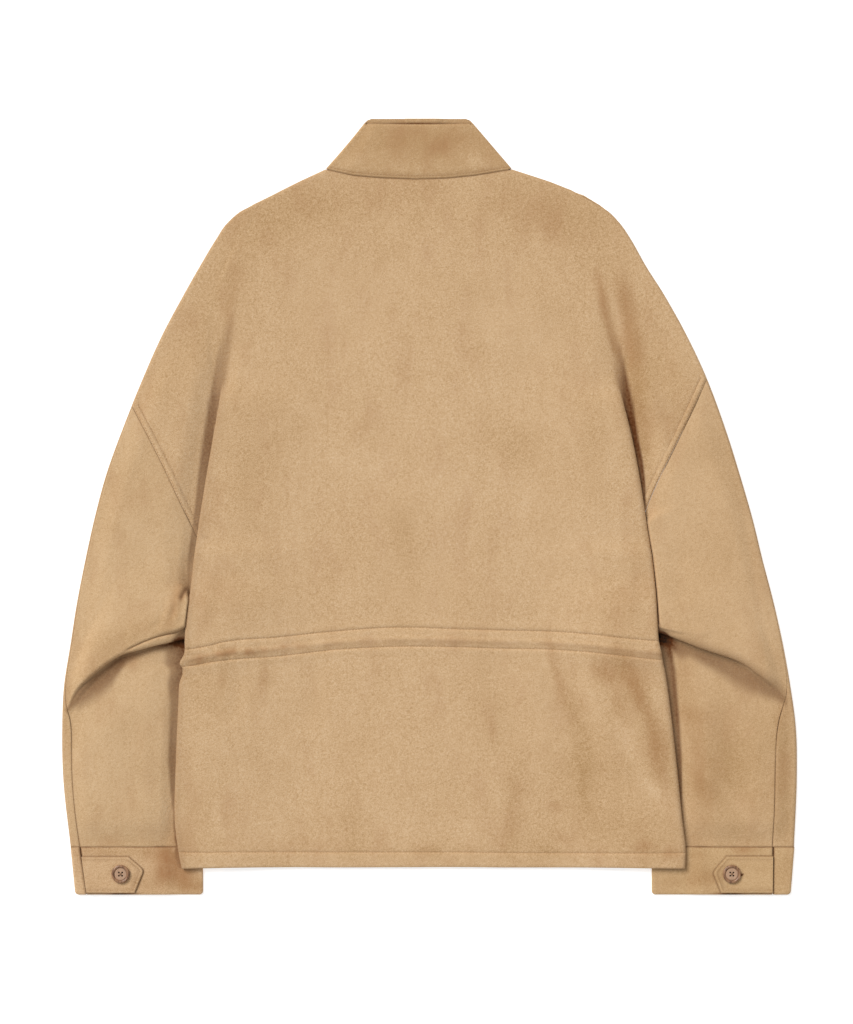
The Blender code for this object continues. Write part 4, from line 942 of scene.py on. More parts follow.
@dataclass
class Back:
    """The back: body, its pleats and the dropped shoulders, in one cut piece."""

    # Columns across the two shoulders and the neck between them.
    neck_columns: tuple[int, ...] = (18, 90, 26)
    # Rings of points beside a shoulder's outer edge.
    near_seam: tuple[float, ...] = (30.0, 24.0, 19.0, 15.0, 12.0, 10.0, 8.6, 7.7, 7.1, 6.6, 6.1, 5.4, 4.2,
                                    3.2, 2.0, 1.2, 0.6, 0.25, 0.06, 0.0)
    # Places of the columns across the rest of a shoulder, from the pleat.
    open_shares: tuple[float, ...] = tuple(np.linspace(0.97, 0.34, 16))
    # How far in from its edge the body sinks to its middle's height.
    reach: float = 120.0
    cord: float = 1.5                             # how far the cord raises the waist channel
    stitch_sink: float = 0.75                     # how far a row of stitches pulls the cloth in

    def __post_init__(self) -> None:
        """Lay out the rows and the columns."""
        self.rows = self.make_rows()
        self.columns = self.make_columns()
        self.armpit_row = max(i for i, row in enumerate(self.rows) if row.end in (Line.CORNER, Line.ARMPIT))
        self.side_columns = 1 + len(FOLD_LINES) + len(self.open_shares) + len(self.near_seam)

    @staticmethod
    def make_rows() -> list[Row]:
        """Return the rows, from the shoulders to the hem.

        Returns:
            The rows, closest together where the cloth rolls over and along its stitches.
        """
        top, corner, armpit, upper, lower, stitch, edge = Line
        shoulder = [*from_offsets(EDGE_OFFSETS, 227.0), *np.linspace(0.035, 1.0, 56)]
        seam = [share / LEFT.inset_per_share for share in (0.06, 0.25, 0.6, 1.2, 2.2, 4.0)]
        seam += list(np.linspace(0.09, 1.0, 42))
        made = [Row(top, corner, share, 0.0, share) for share in shoulder]
        made += [Row(corner, armpit, share, 0.0, share) for share in seam]
        made += [Row(armpit, upper, share, 5.0 * share) for share in np.linspace(0, 1, 32)[1:]]
        made += [Row(upper, upper, 0.0, offset) for offset in (3.2, 2.0, 1.2, 0.6, 0.0, -0.6, -1.2, -2.0)]
        made += [Row(upper, lower, share) for share in np.linspace(0.17, 0.88, 13)]
        made += [Row(lower, lower, 0.0, offset) for offset in (1.2, 0.6, 0.0, -0.6, -1.2, -2.0, -3.2, -5.0)]
        made += [Row(lower, stitch, share, -5.0 * (1 - share)) for share in np.linspace(0, 1, 56)[1:-1]]
        made += [Row(stitch, stitch, 0.0, offset) for offset in (2.0, 1.0, 0.4, 0.0, -0.4, -1.0, -2.0)]
        made += [Row(stitch, edge, share) for share in (0.3, 0.5, 0.7, 0.82, 0.9, 0.95, 0.98, 1.0)]
        return made

    def make_columns(self) -> list[tuple[float, float]]:
        """Return the columns.

        Returns:
            Each column's share of the width, and its millimetres from there.
        """
        width = PLEAT_TOP["right"] - PLEAT_TOP["left"]
        corners = [0.032] + [(n.x - PLEAT_TOP["left"]) / width for n in (NECK[0], NECK[-1])] + [0.968]
        shares = [corners[0]]
        for start, end, count in zip(corners, corners[1:], self.neck_columns):
            shares += list(np.linspace(start, end, count + 1)[1:])
        left = [(0.0, offset) for offset in EDGE_OFFSETS]
        right = [(1.0, -offset) for offset in reversed(EDGE_OFFSETS)]
        return left + [(share, 0.0) for share in shares] + right

    @staticmethod
    def line(name: Line, share: Array, x: Array) -> Array:
        """Return the height of one of the lines across the back.

        Args:
            name: which line.
            share: places as shares of the back's width.
            x: the same places in millimetres.

        Returns:
            One height for each place.
        """
        if name is Line.TOP:
            return top_line(x)
        if name is Line.CORNER:
            return blend(LEFT.armhole_top + 6, RIGHT.armhole_top + 6, share)
        if name is Line.ARMPIT:
            return blend(LEFT.armpit, RIGHT.armpit, share)
        return level[name.value](x)

    def plan(self, column: Array, row: Array) -> tuple[Array, Array]:
        """Return where points of the body stand in plan.

        Args:
            column: each point's column.
            row: each point's row.

        Returns:
            x and y.
        """
        table = np.array(self.columns)[column]
        share, offset = table[:, 0], table[:, 1]
        top_x = blend(PLEAT_TOP["left"], PLEAT_TOP["right"], share) + offset
        x = top_x * 1.5
        for _ in range(4):
            y = np.empty_like(x)
            for index in np.unique(row):
                chosen = row == index
                r = self.rows[index]
                across = top_x if r.start is Line.TOP else x
                start = self.line(r.start, share[chosen], across[chosen])
                end = self.line(r.end, share[chosen], x[chosen])
                y[chosen] = blend(start, end, r.share) + r.offset
            x = blend(LEFT.edge(y), RIGHT.edge(y), share) + offset
        return x, y

    def height(self, x: Array, y: Array) -> Array:
        """Return the height of the body between the pleats.

        Args:
            x, y: places across and up.

        Returns:
            One height for each place.
        """
        base = REST + LOFT
        total = np.full_like(x, base)
        for side in SIDES:
            inside = -side.beside(x, y)
            start = pleat["depth"](y) + 4
            puff = 0.4 * pleat["puff"](y)
            total += (side.body_height(y) - base + puff) * (1 - ease(start, start + self.reach, inside))
            rolled = blend(1 - dome(inside, ROLL + 1.2 * puff), 1 - ease(0, 14, inside), ease(106, 138, y))
            total -= (pleat["roll"](y) + puff) * rolled
            total -= side.rim_drop(x, y) * ease(side.armhole_top - 4, side.armhole_top + 4, y)
        return total + self.sewn(x, y) + crease_relief(BACK_CREASES, x, y) + 0.35 * waver(x, y, 70, 3.0)

    def sewn(self, x: Array, y: Array) -> Array:
        """Return the relief of the waist channel with its cord, the hem and the neck seam.

        Args:
            x, y: places across and up.

        Returns:
            One height for each place.
        """
        upper, lower = level["upper"](x), level["lower"](x)
        into = (upper - y) / (upper - lower)
        inside = ease(-0.05, 0.12, into) * ease(1.05, 0.9, into)
        cord = self.cord * bell(into - 0.60, 0.20) + 0.5 * bell(into - 0.26, 0.16)
        gather = 0.8 + 1.9 * ease(-186, -236, x) + 0.6 * ease(180, 236, x)
        pucker = (0.6 * waver(x + 0.4 * y, y * 0.4, 8, 7.0) * gather
                  + 0.5 * waver(x, y * 0.2, 23, 8.0)) * inside
        total = cord * inside * (1 + 0.7 * waver(x, np.zeros_like(x), 40, 5.0)) + pucker
        total -= self.stitch_sink * bell(y - upper, 1.1) + self.stitch_sink * bell(y - lower, 1.1)
        total += 0.35 * (bell(y - upper - 4, 3.5) + bell(y - lower + 4, 3.5))
        turn = y - level["stitch"](x)
        total -= 0.6 * bell(turn, 1.0)
        total += 0.45 * ease(0.5, -2, turn) + 0.22 * waver(x, np.zeros_like(x), 24, 9.0) * ease(3, -8, turn)
        total -= 1.5 * (1 - dome(y - level["edge"](x), 1.6))
        seam = ease(NECK[0].x - 4, NECK[0].x + 2, x) * ease(NECK[-1].x + 4, NECK[-1].x - 2, x)
        return total - 0.9 * (1 - dome(top_line(x) - y, 1.6)) * seam

    @staticmethod
    def shade(x: Array, y: Array) -> Array:
        """Return the shade painted in the pleats' hollows, along the body's rolled edges and at the
        outline, and the dark lines along the seams.

        Args:
            x, y: places across and up.

        Returns:
            One darkness for each place.
        """
        total = seam_shade(x, y)
        for side in SIDES:
            near = np.abs(side.from_armhole(x, y))
            reach = (y > side.armpit - 1) & (y < side.armhole_top + 1)
            seam = 0.26 * bell(near, 0.8) * reach
            row = 0.20 * bell(near - TOPSTITCH, 0.9) * reach
            # Painted shade along the outline, where the cloth rolls over.
            rim = 0.16 * (1 - ease(0.0, 2.4, side.inset(x, y))) * (y > side.armhole_top - 1)
            total = np.maximum.reduce([total, side.hollow_shade(x, y), seam, row, rim])
        return total

    def body(self, column: Array, row: Array) -> Points:
        """Place points of the body."""
        x, y = self.plan(column, row)
        return x, y, self.height(x, y)

    def shoulder(self, side: Side, column: Array, row: Array) -> Points:
        """Place points of one pleat and dropped shoulder.

        Args:
            side: which side.
            column: each point's column, from the body's edge.
            row: each point's row.

        Returns:
            x, y and z.
        """
        edge_column = 0 if side is LEFT else len(self.columns) - 1
        edge = self.plan(np.full(len(self.rows), edge_column), np.arange(len(self.rows)))
        fold_x, fold_y = edge[0][row], edge[1][row]
        fine = np.array([r.fine for r in self.rows])[row]
        on_shoulder = np.array([r.end is Line.CORNER for r in self.rows])[row]
        tip_y = blend(SHOULDER_TIP, side.armhole_top, fine)
        seam_x, seam_y = side.armhole(fine)
        end_x = np.where(on_shoulder, side.outline(tip_y), seam_x)
        end_y = np.where(on_shoulder, tip_y, seam_y)

        folds = len(FOLD_LINES)
        index = np.clip(column, 1, folds)
        under = np.array([f.under for f in FOLD_LINES])[index - 1]
        up = np.array([f.level for f in FOLD_LINES])[index - 1]
        x = fold_x - side.outward * (under * pleat["depth"](fold_y) - pleat["spread"](fold_y) * index)
        y = blend(fold_y, end_y, np.clip((x - fold_x) / (end_x - fold_x), 0, 1))
        step = pleat["step"](fold_y)
        z = side.upper_height(fold_x, fold_y) + up * step - side.rim_drop(x, y) * (step < 1)
        z = z + ease(120, 150, fold_y) * (crease_relief(BACK_CREASES, x, y) + 0.35 * waver(x, y, 70, 3.0))

        width = np.hypot(end_x - x, end_y - y)
        table = np.concatenate([self.open_shares, np.zeros(len(self.near_seam))])
        offsets = np.concatenate([np.zeros(len(self.open_shares)), self.near_seam])
        pick = np.clip(column - folds - 1, 0, len(table) - 1)
        ring = np.minimum(offsets[pick] / width, offsets[pick] / 30.0 * 0.32)
        share = np.where(table[pick] > 0, table[pick], ring)
        beyond_x, beyond_y = blend(end_x, x, share), blend(end_y, y, share)
        beyond_z = side.shoulder_height(beyond_x, beyond_y)
        places = ((fold_x, x, beyond_x), (fold_y, y, beyond_y), (self.height(fold_x, fold_y), z, beyond_z))
        return tuple(np.where(column == 0, a, np.where(column <= folds, b, c)) for a, b, c in places)

    def make(self, finish: Material) -> tuple[Sheet, Piece]:
        """Build the back.

        Args:
            finish: its suede.

        Returns:
            The sheet and its piece.
        """
        sheet = Sheet("back_panel", "back", WALL, (0.66, 0.76), 0.80,
                      ("front_left_panel", "front_right_panel"), BACK_MARKS, self.shade, channel_flush)
        sheet.add_grid(len(self.columns), len(self.rows), self.body)
        for side in SIDES:
            sheet.add_grid(self.side_columns, self.armpit_row + 1, partial(self.shoulder, side))
        return sheet, sheet.build(finish)


@dataclass
class Front:
    """One front, laid on the surface with the tucked sleeve over its outer part."""

    side: Side
    columns: int = 44     # points across
    rows: int = 96        # points down
    foot: float = -387.0  # height of the middle of its lower edge

    def end(self, v: Array) -> tuple[Array, Array]:
        """Return the outer end of a row.

        Args:
            v: 0 to 1 down the shoulder, to 2 at the armpit, to 3 at the hem.

        Returns:
            x and y.
        """
        side = self.side
        tip_y = blend(SHOULDER_TIP, side.armhole_top, np.clip(v, 0, 1))
        seam_x, seam_y = side.armhole(np.clip(v - 1, 0, 1))
        seam_x = seam_x - side.outward * ARMPIT_CLEARANCE * ease(side.armpit + 30, side.armpit, seam_y)
        hem_y = blend(side.armpit, self.foot - 2.0, np.clip(v - 2, 0, 1))
        x = np.where(v <= 1, side.outline(tip_y), np.where(v <= 2, seam_x, side.edge(hem_y)))
        below_armpit = ease(2.06, 2.0, v) * (v > 2)
        x = x - side.outward * ARMPIT_CLEARANCE * below_armpit
        return x, np.where(v <= 1, tip_y, np.where(v <= 2, seam_y, hem_y))

    def place(self, column: Array, row: Array) -> Points:
        """Place points of the front.

        Args:
            column: each point's column.
            row: each point's row.

        Returns:
            x, y and z.
        """
        outward = self.side.outward
        v = np.interp(row / (self.rows - 1), (0, 0.012, 0.3, 0.5, 1.0), (0, 0.012, 1.0, 2.0, 3.0))
        end_x, end_y = self.end(v)
        start_y = blend(COLLAR_FOOT, self.foot, np.interp(v, (0, 1, 2, 3), (0, 0.31, 0.52, 1.0)))
        start_x = centre_x(start_y) - outward * LAP / 2
        share = np.interp(column / (self.columns - 1), (0, 0.2, 0.6, 0.86, 1.0), (0, 0.16, 0.7, 0.985, 1.0))
        x, y = blend(start_x, end_x, share), blend(start_y, end_y, share)
        top_x = blend(CENTRE - outward * LAP / 2, self.side.outline(SHOULDER_TIP), share)
        y = y + (top_line(top_x) - blend(COLLAR_FOOT, SHOULDER_TIP, share)) * (1 - ease(0, 1, v))
        return x, y, self.height(x, y)

    def height(self, x: Array, y: Array) -> Array:
        """Return the height of the front: on the surface, over the tucked sleeve, over the other front.

        Args:
            x, y: places across and up.

        Returns:
            One height for each place.
        """
        side = self.side
        over = ease(-38, -7.5, (x - side.inner(np.minimum(y, side.armpit))) * side.outward)
        lift = over * ease(side.armpit + 2, side.armpit - 13, y)
        total = blend(REST, side.body_height(y) - UNDER_BACK, lift)
        total += side.rim_drop(x, y) * (y > side.armpit)
        total += (UNDER_BACK - ROLL_GAP - pleat["roll"](y)) * (1 - dome(-side.beside(x, y), ROLL)) * lift
        if side is RIGHT:
            total += LAP_LIFT * (1 - ease(2, 16, x - centre_x(y) - LAP / 2))
        return total

    def make(self, finish: Material) -> tuple[Sheet, Piece]:
        """Build the front.

        Args:
            finish: its suede.

        Returns:
            The sheet and its piece.
        """
        name = f"front_{self.side.name}"
        sheet = Sheet(name + "_panel", name, WALL, (0.34, 0.76), 0.80, ("floor",))
        sheet.add_grid(self.columns, self.rows, self.place)
        return sheet, sheet.build(finish)


@dataclass
class Sleeve:
    """One sleeve: the layer that shows, folded over at the elbow, and the layer beneath it."""

    side: Side
    roll_columns: int = 18    # columns round its outer edge
    floor_columns: int = 10   # columns on the surface
    fold_spread: float = 3.0  # spacing of the elbow fold's lines at the outer edge
    puff: float = 3.6         # how far the sleeve swells beside the body
    lip_rise: float = 1.8     # how much prouder its elbow lip stands
    cuff_dip: float = 1.2     # how much lower it lies at the cuff

    def __post_init__(self) -> None:
        """Lay out the rows and the columns of the layer that shows."""
        self.shares = np.concatenate([(0, 0.003, 0.007, 0.013, 0.022, 0.034), np.linspace(0.048, 0.80, 62),
                                      np.linspace(0.807, 1.0, 34)])
        near = (15, 14, 13, 12, 11.2, 10.4, 9.6, 8.8, 8, 7.2, 6.4, 5.6, 4.8, 4, 3.3, 2.6, 2, 1.4, 0.9,
                0.5, 0.2, 0)
        arm = 190.0
        self.arm_shares = np.concatenate([from_offsets((0, 0.3, 0.7, 1.2, 2.0, 3.0), arm),
                                          np.linspace(0.024, 0.91, 62),
                                          1 - np.array(from_offsets(near, arm))])
        self.forearm_shares = np.concatenate([np.linspace(0.004, 0.975, 92),
                                              1 - np.array(from_offsets((2.4, 1.2, 0.5, 0), arm))])
        self.row_count = len(self.arm_shares) + len(FOLD_LINES) + len(self.forearm_shares)

    def upper_end(self, u: Value) -> Pair:
        """Return a point of the sleeve's upper end."""
        return self.side.sleeve_end(blend(self.side.sleeve_start, 1.0, u))

    def lip(self, u: Value) -> Pair:
        """Return a point of the elbow fold's lip.

        Args:
            u: share across, from the hind seam.

        Returns:
            x and y.
        """
        start = self.side.seam_x(self.side.elbow(0.0), GAP / 2)
        end = self.side.inner(self.side.elbow(1.0))
        return blend(start, end, u), self.side.elbow(u)

    def visible(self, x: Value, y: Value) -> Value:
        """Return 0 where the sleeve is tucked under the body, rising to 1 beside it."""
        tight = self.side.tight(y)
        return ease(blend(1, 0.4, tight), blend(18, CLOSE[self.side.name], tight), self.side.beside(x, y))

    def height(self, x: Array, y: Array) -> Array:
        """Return the height of the layer that shows where it rolls over the outer edge."""
        top = self.top(x, y)
        return top - (top - REST) / 2 * (1 - dome(self.side.inset(x, y), ROLL))

    def top(self, x: Array, y: Array) -> Array:
        """Return the height of the layer that shows, apart from its raised lip.

        Args:
            x, y: places across and up.

        Returns:
            One height for each place.
        """
        side = self.side
        shown = self.visible(x, y)
        crown = ease(0, 26, side.inset(x, y)) * ease(CUFF_TOP, -335, y)
        seam = side.from_armhole(x, y)
        near_seam = ease(side.armpit - 14, side.armpit + 2, y)
        crown = crown * (1 - 0.35 * bell(seam, 9) * near_seam)
        total = side.upper_height(x, y) + self.puff * shown * crown
        total = total - self.cuff_dip * ease(-320, CUFF_TOP, y) - 0.5 * bell(seam, 1.3) * near_seam
        total = total + crease_relief(SLEEVE_CREASES[side.name], x, y) * shown
        total = total + 0.4 * waver(x, y, 48, 11.0 + side.outward) * shown
        total = total - 0.9 * (1 - dome(y - CUFF_TOP, 1.8))
        return np.maximum(REST + WALL + GAP, total)

    def fold_point(self, u: Array, index: Array) -> Points:
        """Return a point of the cloth folded under the lip.

        Args:
            u: share across, from the hind seam.
            index: which of the fold's lines.

        Returns:
            x, y and z.
        """
        side = self.side
        x, lip_y = self.lip(u)
        spread = blend(self.fold_spread, 0.35, ease(0.0, 0.5, u))
        under = np.array([f.under for f in FOLD_LINES])[index]
        up = np.array([f.level for f in FOLD_LINES])[index]
        y = lip_y + under * side.elbow_depth(u) - spread * (index + 1)
        top = side.elbow(0.0)
        drift = side.seam_x(top - self.fold_spread * (index + 1), 0.0) - side.seam_x(top, 0.0)
        x = x + drift * (1 - u) ** 4
        rise = side.elbow_step(u) + self.lip_rise * self.visible(x, lip_y) * ease(0.02, 0.3, u)
        return x, y, self.under_height(x, lip_y) + up * rise

    def under_height(self, x: Array, y: Array) -> Array:
        """Return the height of the forearm where it lies under the lip."""
        return np.maximum(REST + WALL + GAP, self.side.upper_height(x, y))

    def patch(self, start: Callable, end: Callable, u: Array, t: Array, top: Pair,
              bottom: Pair) -> list[Array]:
        """Return plan points of a patch between two lines, its sides along the hind and inner seams.

        Args:
            start: the first line, read at u.
            end: the last line, read at u.
            u: share across, from the hind seam.
            t: share down.
            top: heights of the first line's two ends.
            bottom: heights of the last line's two ends.

        Returns:
            x and y.
        """
        side = self.side

        def across(down: Value) -> tuple[Pair, Pair]:
            """Return the patch's outer and inner points at a share of the way down."""
            outer, inner = blend(top[0], bottom[0], down), blend(top[1], bottom[1], down)
            return (side.seam_x(outer, GAP / 2), outer), (side.inner(inner), inner)

        point = []
        for axis in (0, 1):
            outer, inner = (end_point[axis] for end_point in across(t))
            first, last = ([end_point[axis] for end_point in across(down)] for down in (0.0, 1.0))
            value = blend(outer, inner, u)
            value = value + (1 - t) * (start(u)[axis] - blend(*first, u))
            value = value + t * (end(u)[axis] - blend(*last, u))
            point.append(value)
        return point

    def arm_point(self, u: Array, t: Array) -> Points:
        """Place points of the upper arm, down to its lip.

        Args:
            u: share across, from the hind seam.
            t: share down.

        Returns:
            x, y and z.
        """
        side = self.side
        tops = (float(self.upper_end(0.0)[1]), float(self.upper_end(1.0)[1]))
        lips = (float(side.elbow(0.0)), float(side.elbow(1.0)))
        x, y = self.patch(self.upper_end, self.lip, u, t, tops, lips)
        lip_x, lip_y = self.lip(u)
        from_lip = y - lip_y
        reach = side.elbow_depth(u) + 4
        shown = self.visible(x, y) * ease(0.02, 0.3, u)
        raised = side.elbow_step(u) * (1 - ease(reach, reach + 30 + 60 * shown, from_lip))
        raised = raised + self.lip_rise * shown * (1 - ease(6, 130, from_lip))
        rolled = (side.elbow_step(u) / 4 + 2.6 * shown) * (1 - dome(from_lip, side.fold["roll"](lip_x)))
        crease = side.fold["crease"](lip_x)
        pressed = 0.9 * ease(crease - 0.5, crease + 1.5, from_lip) * (1 - ease(12, 50, from_lip))
        creased = 1.6 * bell(from_lip - crease, 1.3) - pressed
        return x, y, self.height(x, y) + raised - rolled - creased * ease(1.5, 5, crease) * shown

    def last_fold(self, u: Value) -> list[Array]:
        """Return a point of the fold's last line, in plan."""
        return self.fold_point(u, np.full(np.shape(u), len(FOLD_LINES) - 1, dtype=int))[:2]

    def forearm_point(self, u: Array, t: Array) -> Points:
        """Place points of the forearm, from beneath the lip to the cuff.

        Args:
            u: share across, from the hind seam.
            t: share down.

        Returns:
            x, y and z.
        """
        starts = tuple(float(self.last_fold(np.array([share]))[1][0]) for share in (0.0, 1.0))
        x, y = self.patch(self.last_fold, self.cuff_line, u, t, starts, (CUFF_TOP, CUFF_TOP))
        clear = ease(0, 34 + 40 * self.visible(x, y), self.lip(u)[1] - y - 4 * (1 - u))
        return x, y, blend(self.under_height(x, y), self.height(x, y), clear)

    def cuff_line(self, u: Value) -> Pair:
        """Return a point of the sleeve's lower end."""
        return (blend(self.side.seam_x(CUFF_TOP, GAP / 2), self.side.inner(CUFF_TOP), u),
                np.full(np.shape(u), CUFF_TOP))

    def shown_point(self, column: Array, row: Array) -> Points:
        """Place points of the layer that shows.

        Args:
            column: each point's column.
            row: each point's row.

        Returns:
            x, y and z.
        """
        u = self.shares[column]
        arm, folds = len(self.arm_shares), len(FOLD_LINES)
        upper = self.arm_point(u, self.arm_shares[np.clip(row, 0, arm - 1)])
        folded = self.fold_point(u, np.clip(row - arm, 0, folds - 1))
        last = len(self.forearm_shares) - 1
        lower = self.forearm_point(u, self.forearm_shares[np.clip(row - arm - folds, 0, last)])
        return tuple(np.where(row < arm, a, np.where(row < arm + folds, b, c))
                     for a, b, c in zip(upper, folded, lower))

    def hidden_point(self, column: Array, row: Array) -> Points:
        """Place points of the layer on the surface, round the outer roll and up to the hind seam.

        Args:
            column: each point's column, from the inner edge.
            row: each point's row, as in the layer that shows.

        Returns:
            x, y and z.
        """
        side = self.side
        _, edge_y, _ = self.shown_point(np.zeros(self.row_count, dtype=int), np.arange(self.row_count))
        t = ((edge_y - edge_y[0]) / (edge_y[-1] - edge_y[0]))[row]
        y = edge_y[row]
        roll_x = side.outline(y) - side.outward * ROLL
        share = 1 - column / (self.floor_columns - 1)
        across = np.clip(1 - share, 0, 1)
        inner_x, inner_top = self.upper_end(1.0)
        inner_y = blend(inner_top, CUFF_TOP, t)
        top_x, top_y = self.upper_end(np.clip(share, 0, 1))
        level_x = blend(inner_x, side.outline(edge_y[0]) - side.outward * ROLL, across)
        level_y = blend(inner_top, edge_y[0], across)
        x0 = blend(side.inner(inner_y), roll_x, across) + (1 - t) * (top_x - level_x)
        y0 = blend(inner_y, y, across) + (1 - t) * (top_y - level_y)

        radius = (self.top(roll_x, y) - REST) / 2
        end = (side.outline(y) - side.seam_x(y, -GAP / 2)) * side.outward
        last_angle = np.arccos(np.clip(1 - end / ROLL, 0, 1))
        arc, strip = ROLL * (last_angle + math.pi / 2), np.maximum(0, end - ROLL)
        walked = (arc + strip) * np.clip((column - self.floor_columns + 1) / self.roll_columns, 0, 1)
        angle = np.minimum(walked / ROLL - math.pi / 2, last_angle)
        inset = ROLL * (1 - np.cos(angle)) + np.maximum(0, walked - arc)
        rise = (side.armhole_top - side.armpit) / side.inset_per_share
        y1 = y + rise * (SEAM_START - inset) * (1 - t) ** 8
        x1 = side.outline(y1) - side.outward * inset
        z1 = np.where(walked > arc, self.top(x1, y1) - 0.5 * bell(end - inset, 0.9),
                      REST + radius + radius * np.sin(angle))
        on_floor = column < self.floor_columns
        return tuple(np.where(on_floor, a, b) for a, b in ((x0, x1), (y0, y1), (REST, z1)))

    def shade(self, x: Array, y: Array) -> Array:
        """Return the shade painted beneath and above the elbow's lip, in its crease and the sharper
        creases, beside the body and along the outline, and the dark lines along the seams.

        Args:
            x, y: places across and up.

        Returns:
            One darkness for each place.
        """
        side = self.side
        start, end = self.lip(0.0)[0], self.lip(1.0)[0]
        across = (x - start) / (end - start)
        below = side.elbow(np.clip(across, 0, 1)) - y
        width, dark, deep = (side.fold[column](x) for column in ("width", "dark", "line"))
        # Painted shadow in the hollow beneath the lip, with a darker painted line right under it.
        under = dark * (1 - ease(0.58 * width, 1.36 * width, below)) + deep * (1 - ease(0.5, 5.0, below))
        # Painted shade on the cloth rolling over above the lip.
        above = LIP_PAINTED_SHADE[side.name] * (1 - ease(0, 13, -below)) * ease(1.0, 0.6, across)
        lip = np.where(below > 0.05, np.maximum(under, 0), above) * ease(-0.025, 0.005, across)
        crease = side.fold["crease"](x)
        # Painted shade in the crease above the lip.
        line = 0.50 * bell(-below - crease, 1.0) * ease(1.5, 4, crease)
        seam = 0.30 * bell(side.from_armhole(x, y), 0.8) * (y > side.armpit - 6)
        hind = 0.42 * bell((side.seam_x(y, 0.0) - x) * side.outward, 0.8) * ease(-206, -220, y)
        # Painted shade along the outline, where the cloth rolls over.
        rim = 0.16 * (1 - ease(0.0, 2.4, side.inset(x, y)))
        cuff = 0.5 * bell(y - CUFF_TOP, 0.9)
        folds = crease_shade(SLEEVE_CREASES[side.name], x, y)
        return np.maximum.reduce([lip, line, side.hollow_shade(x, y), seam, hind, rim, cuff, folds])

    def make(self, finish: Material) -> list[tuple[Sheet, Piece]]:
        """Build both pieces of the sleeve.

        Args:
            finish: its suede.

        Returns:
            Each piece with its sheet, the hidden one first.
        """
        name = f"sleeve_{self.side.name}"
        marks = SLEEVE_MARKS[self.side.name]
        hidden = Sheet(name + "_upper_panel", name + "_upper", WALL, (0.18, 0.50), 0.72, ("floor",), marks,
                       self.shade)
        hidden.add_grid(self.floor_columns + self.roll_columns, self.row_count, self.hidden_point)
        shown = Sheet(name + "_under_panel", name + "_under", WALL, (0.16, 0.52), 0.72,
                      (name + "_upper_panel",), marks, self.shade)
        shown.add_grid(len(self.shares), self.row_count, self.shown_point)
        return [(sheet, sheet.build(finish)) for sheet in (hidden, shown)]


class Stretch(Enum):
    """Stretches of a band that is folded flat, in the order that it runs round."""

    UNDER_END = "under_end"
    LEFT_ROLL = "left_roll"
    BACK = "back"
    RIGHT_ROLL = "right_roll"
    RIGHT_FLOOR = "right_floor"
    OVER_END = "over_end"
    STRIP = "strip"
    OUTER_ROLL = "outer_roll"
    FLOOR = "floor"
    INNER_ROLL = "inner_roll"
    TOP = "top"


class Stop(NamedTuple):
    """One line across a folded band: the stretch that it is on, and where."""

    stretch: Stretch
    at: float


def stops(*parts: tuple[Stretch, Sequence[float]]) -> list[Stop]:
    """Return a band's stops, in order round it."""
    return [Stop(stretch, float(at)) for stretch, places in parts for at in places]


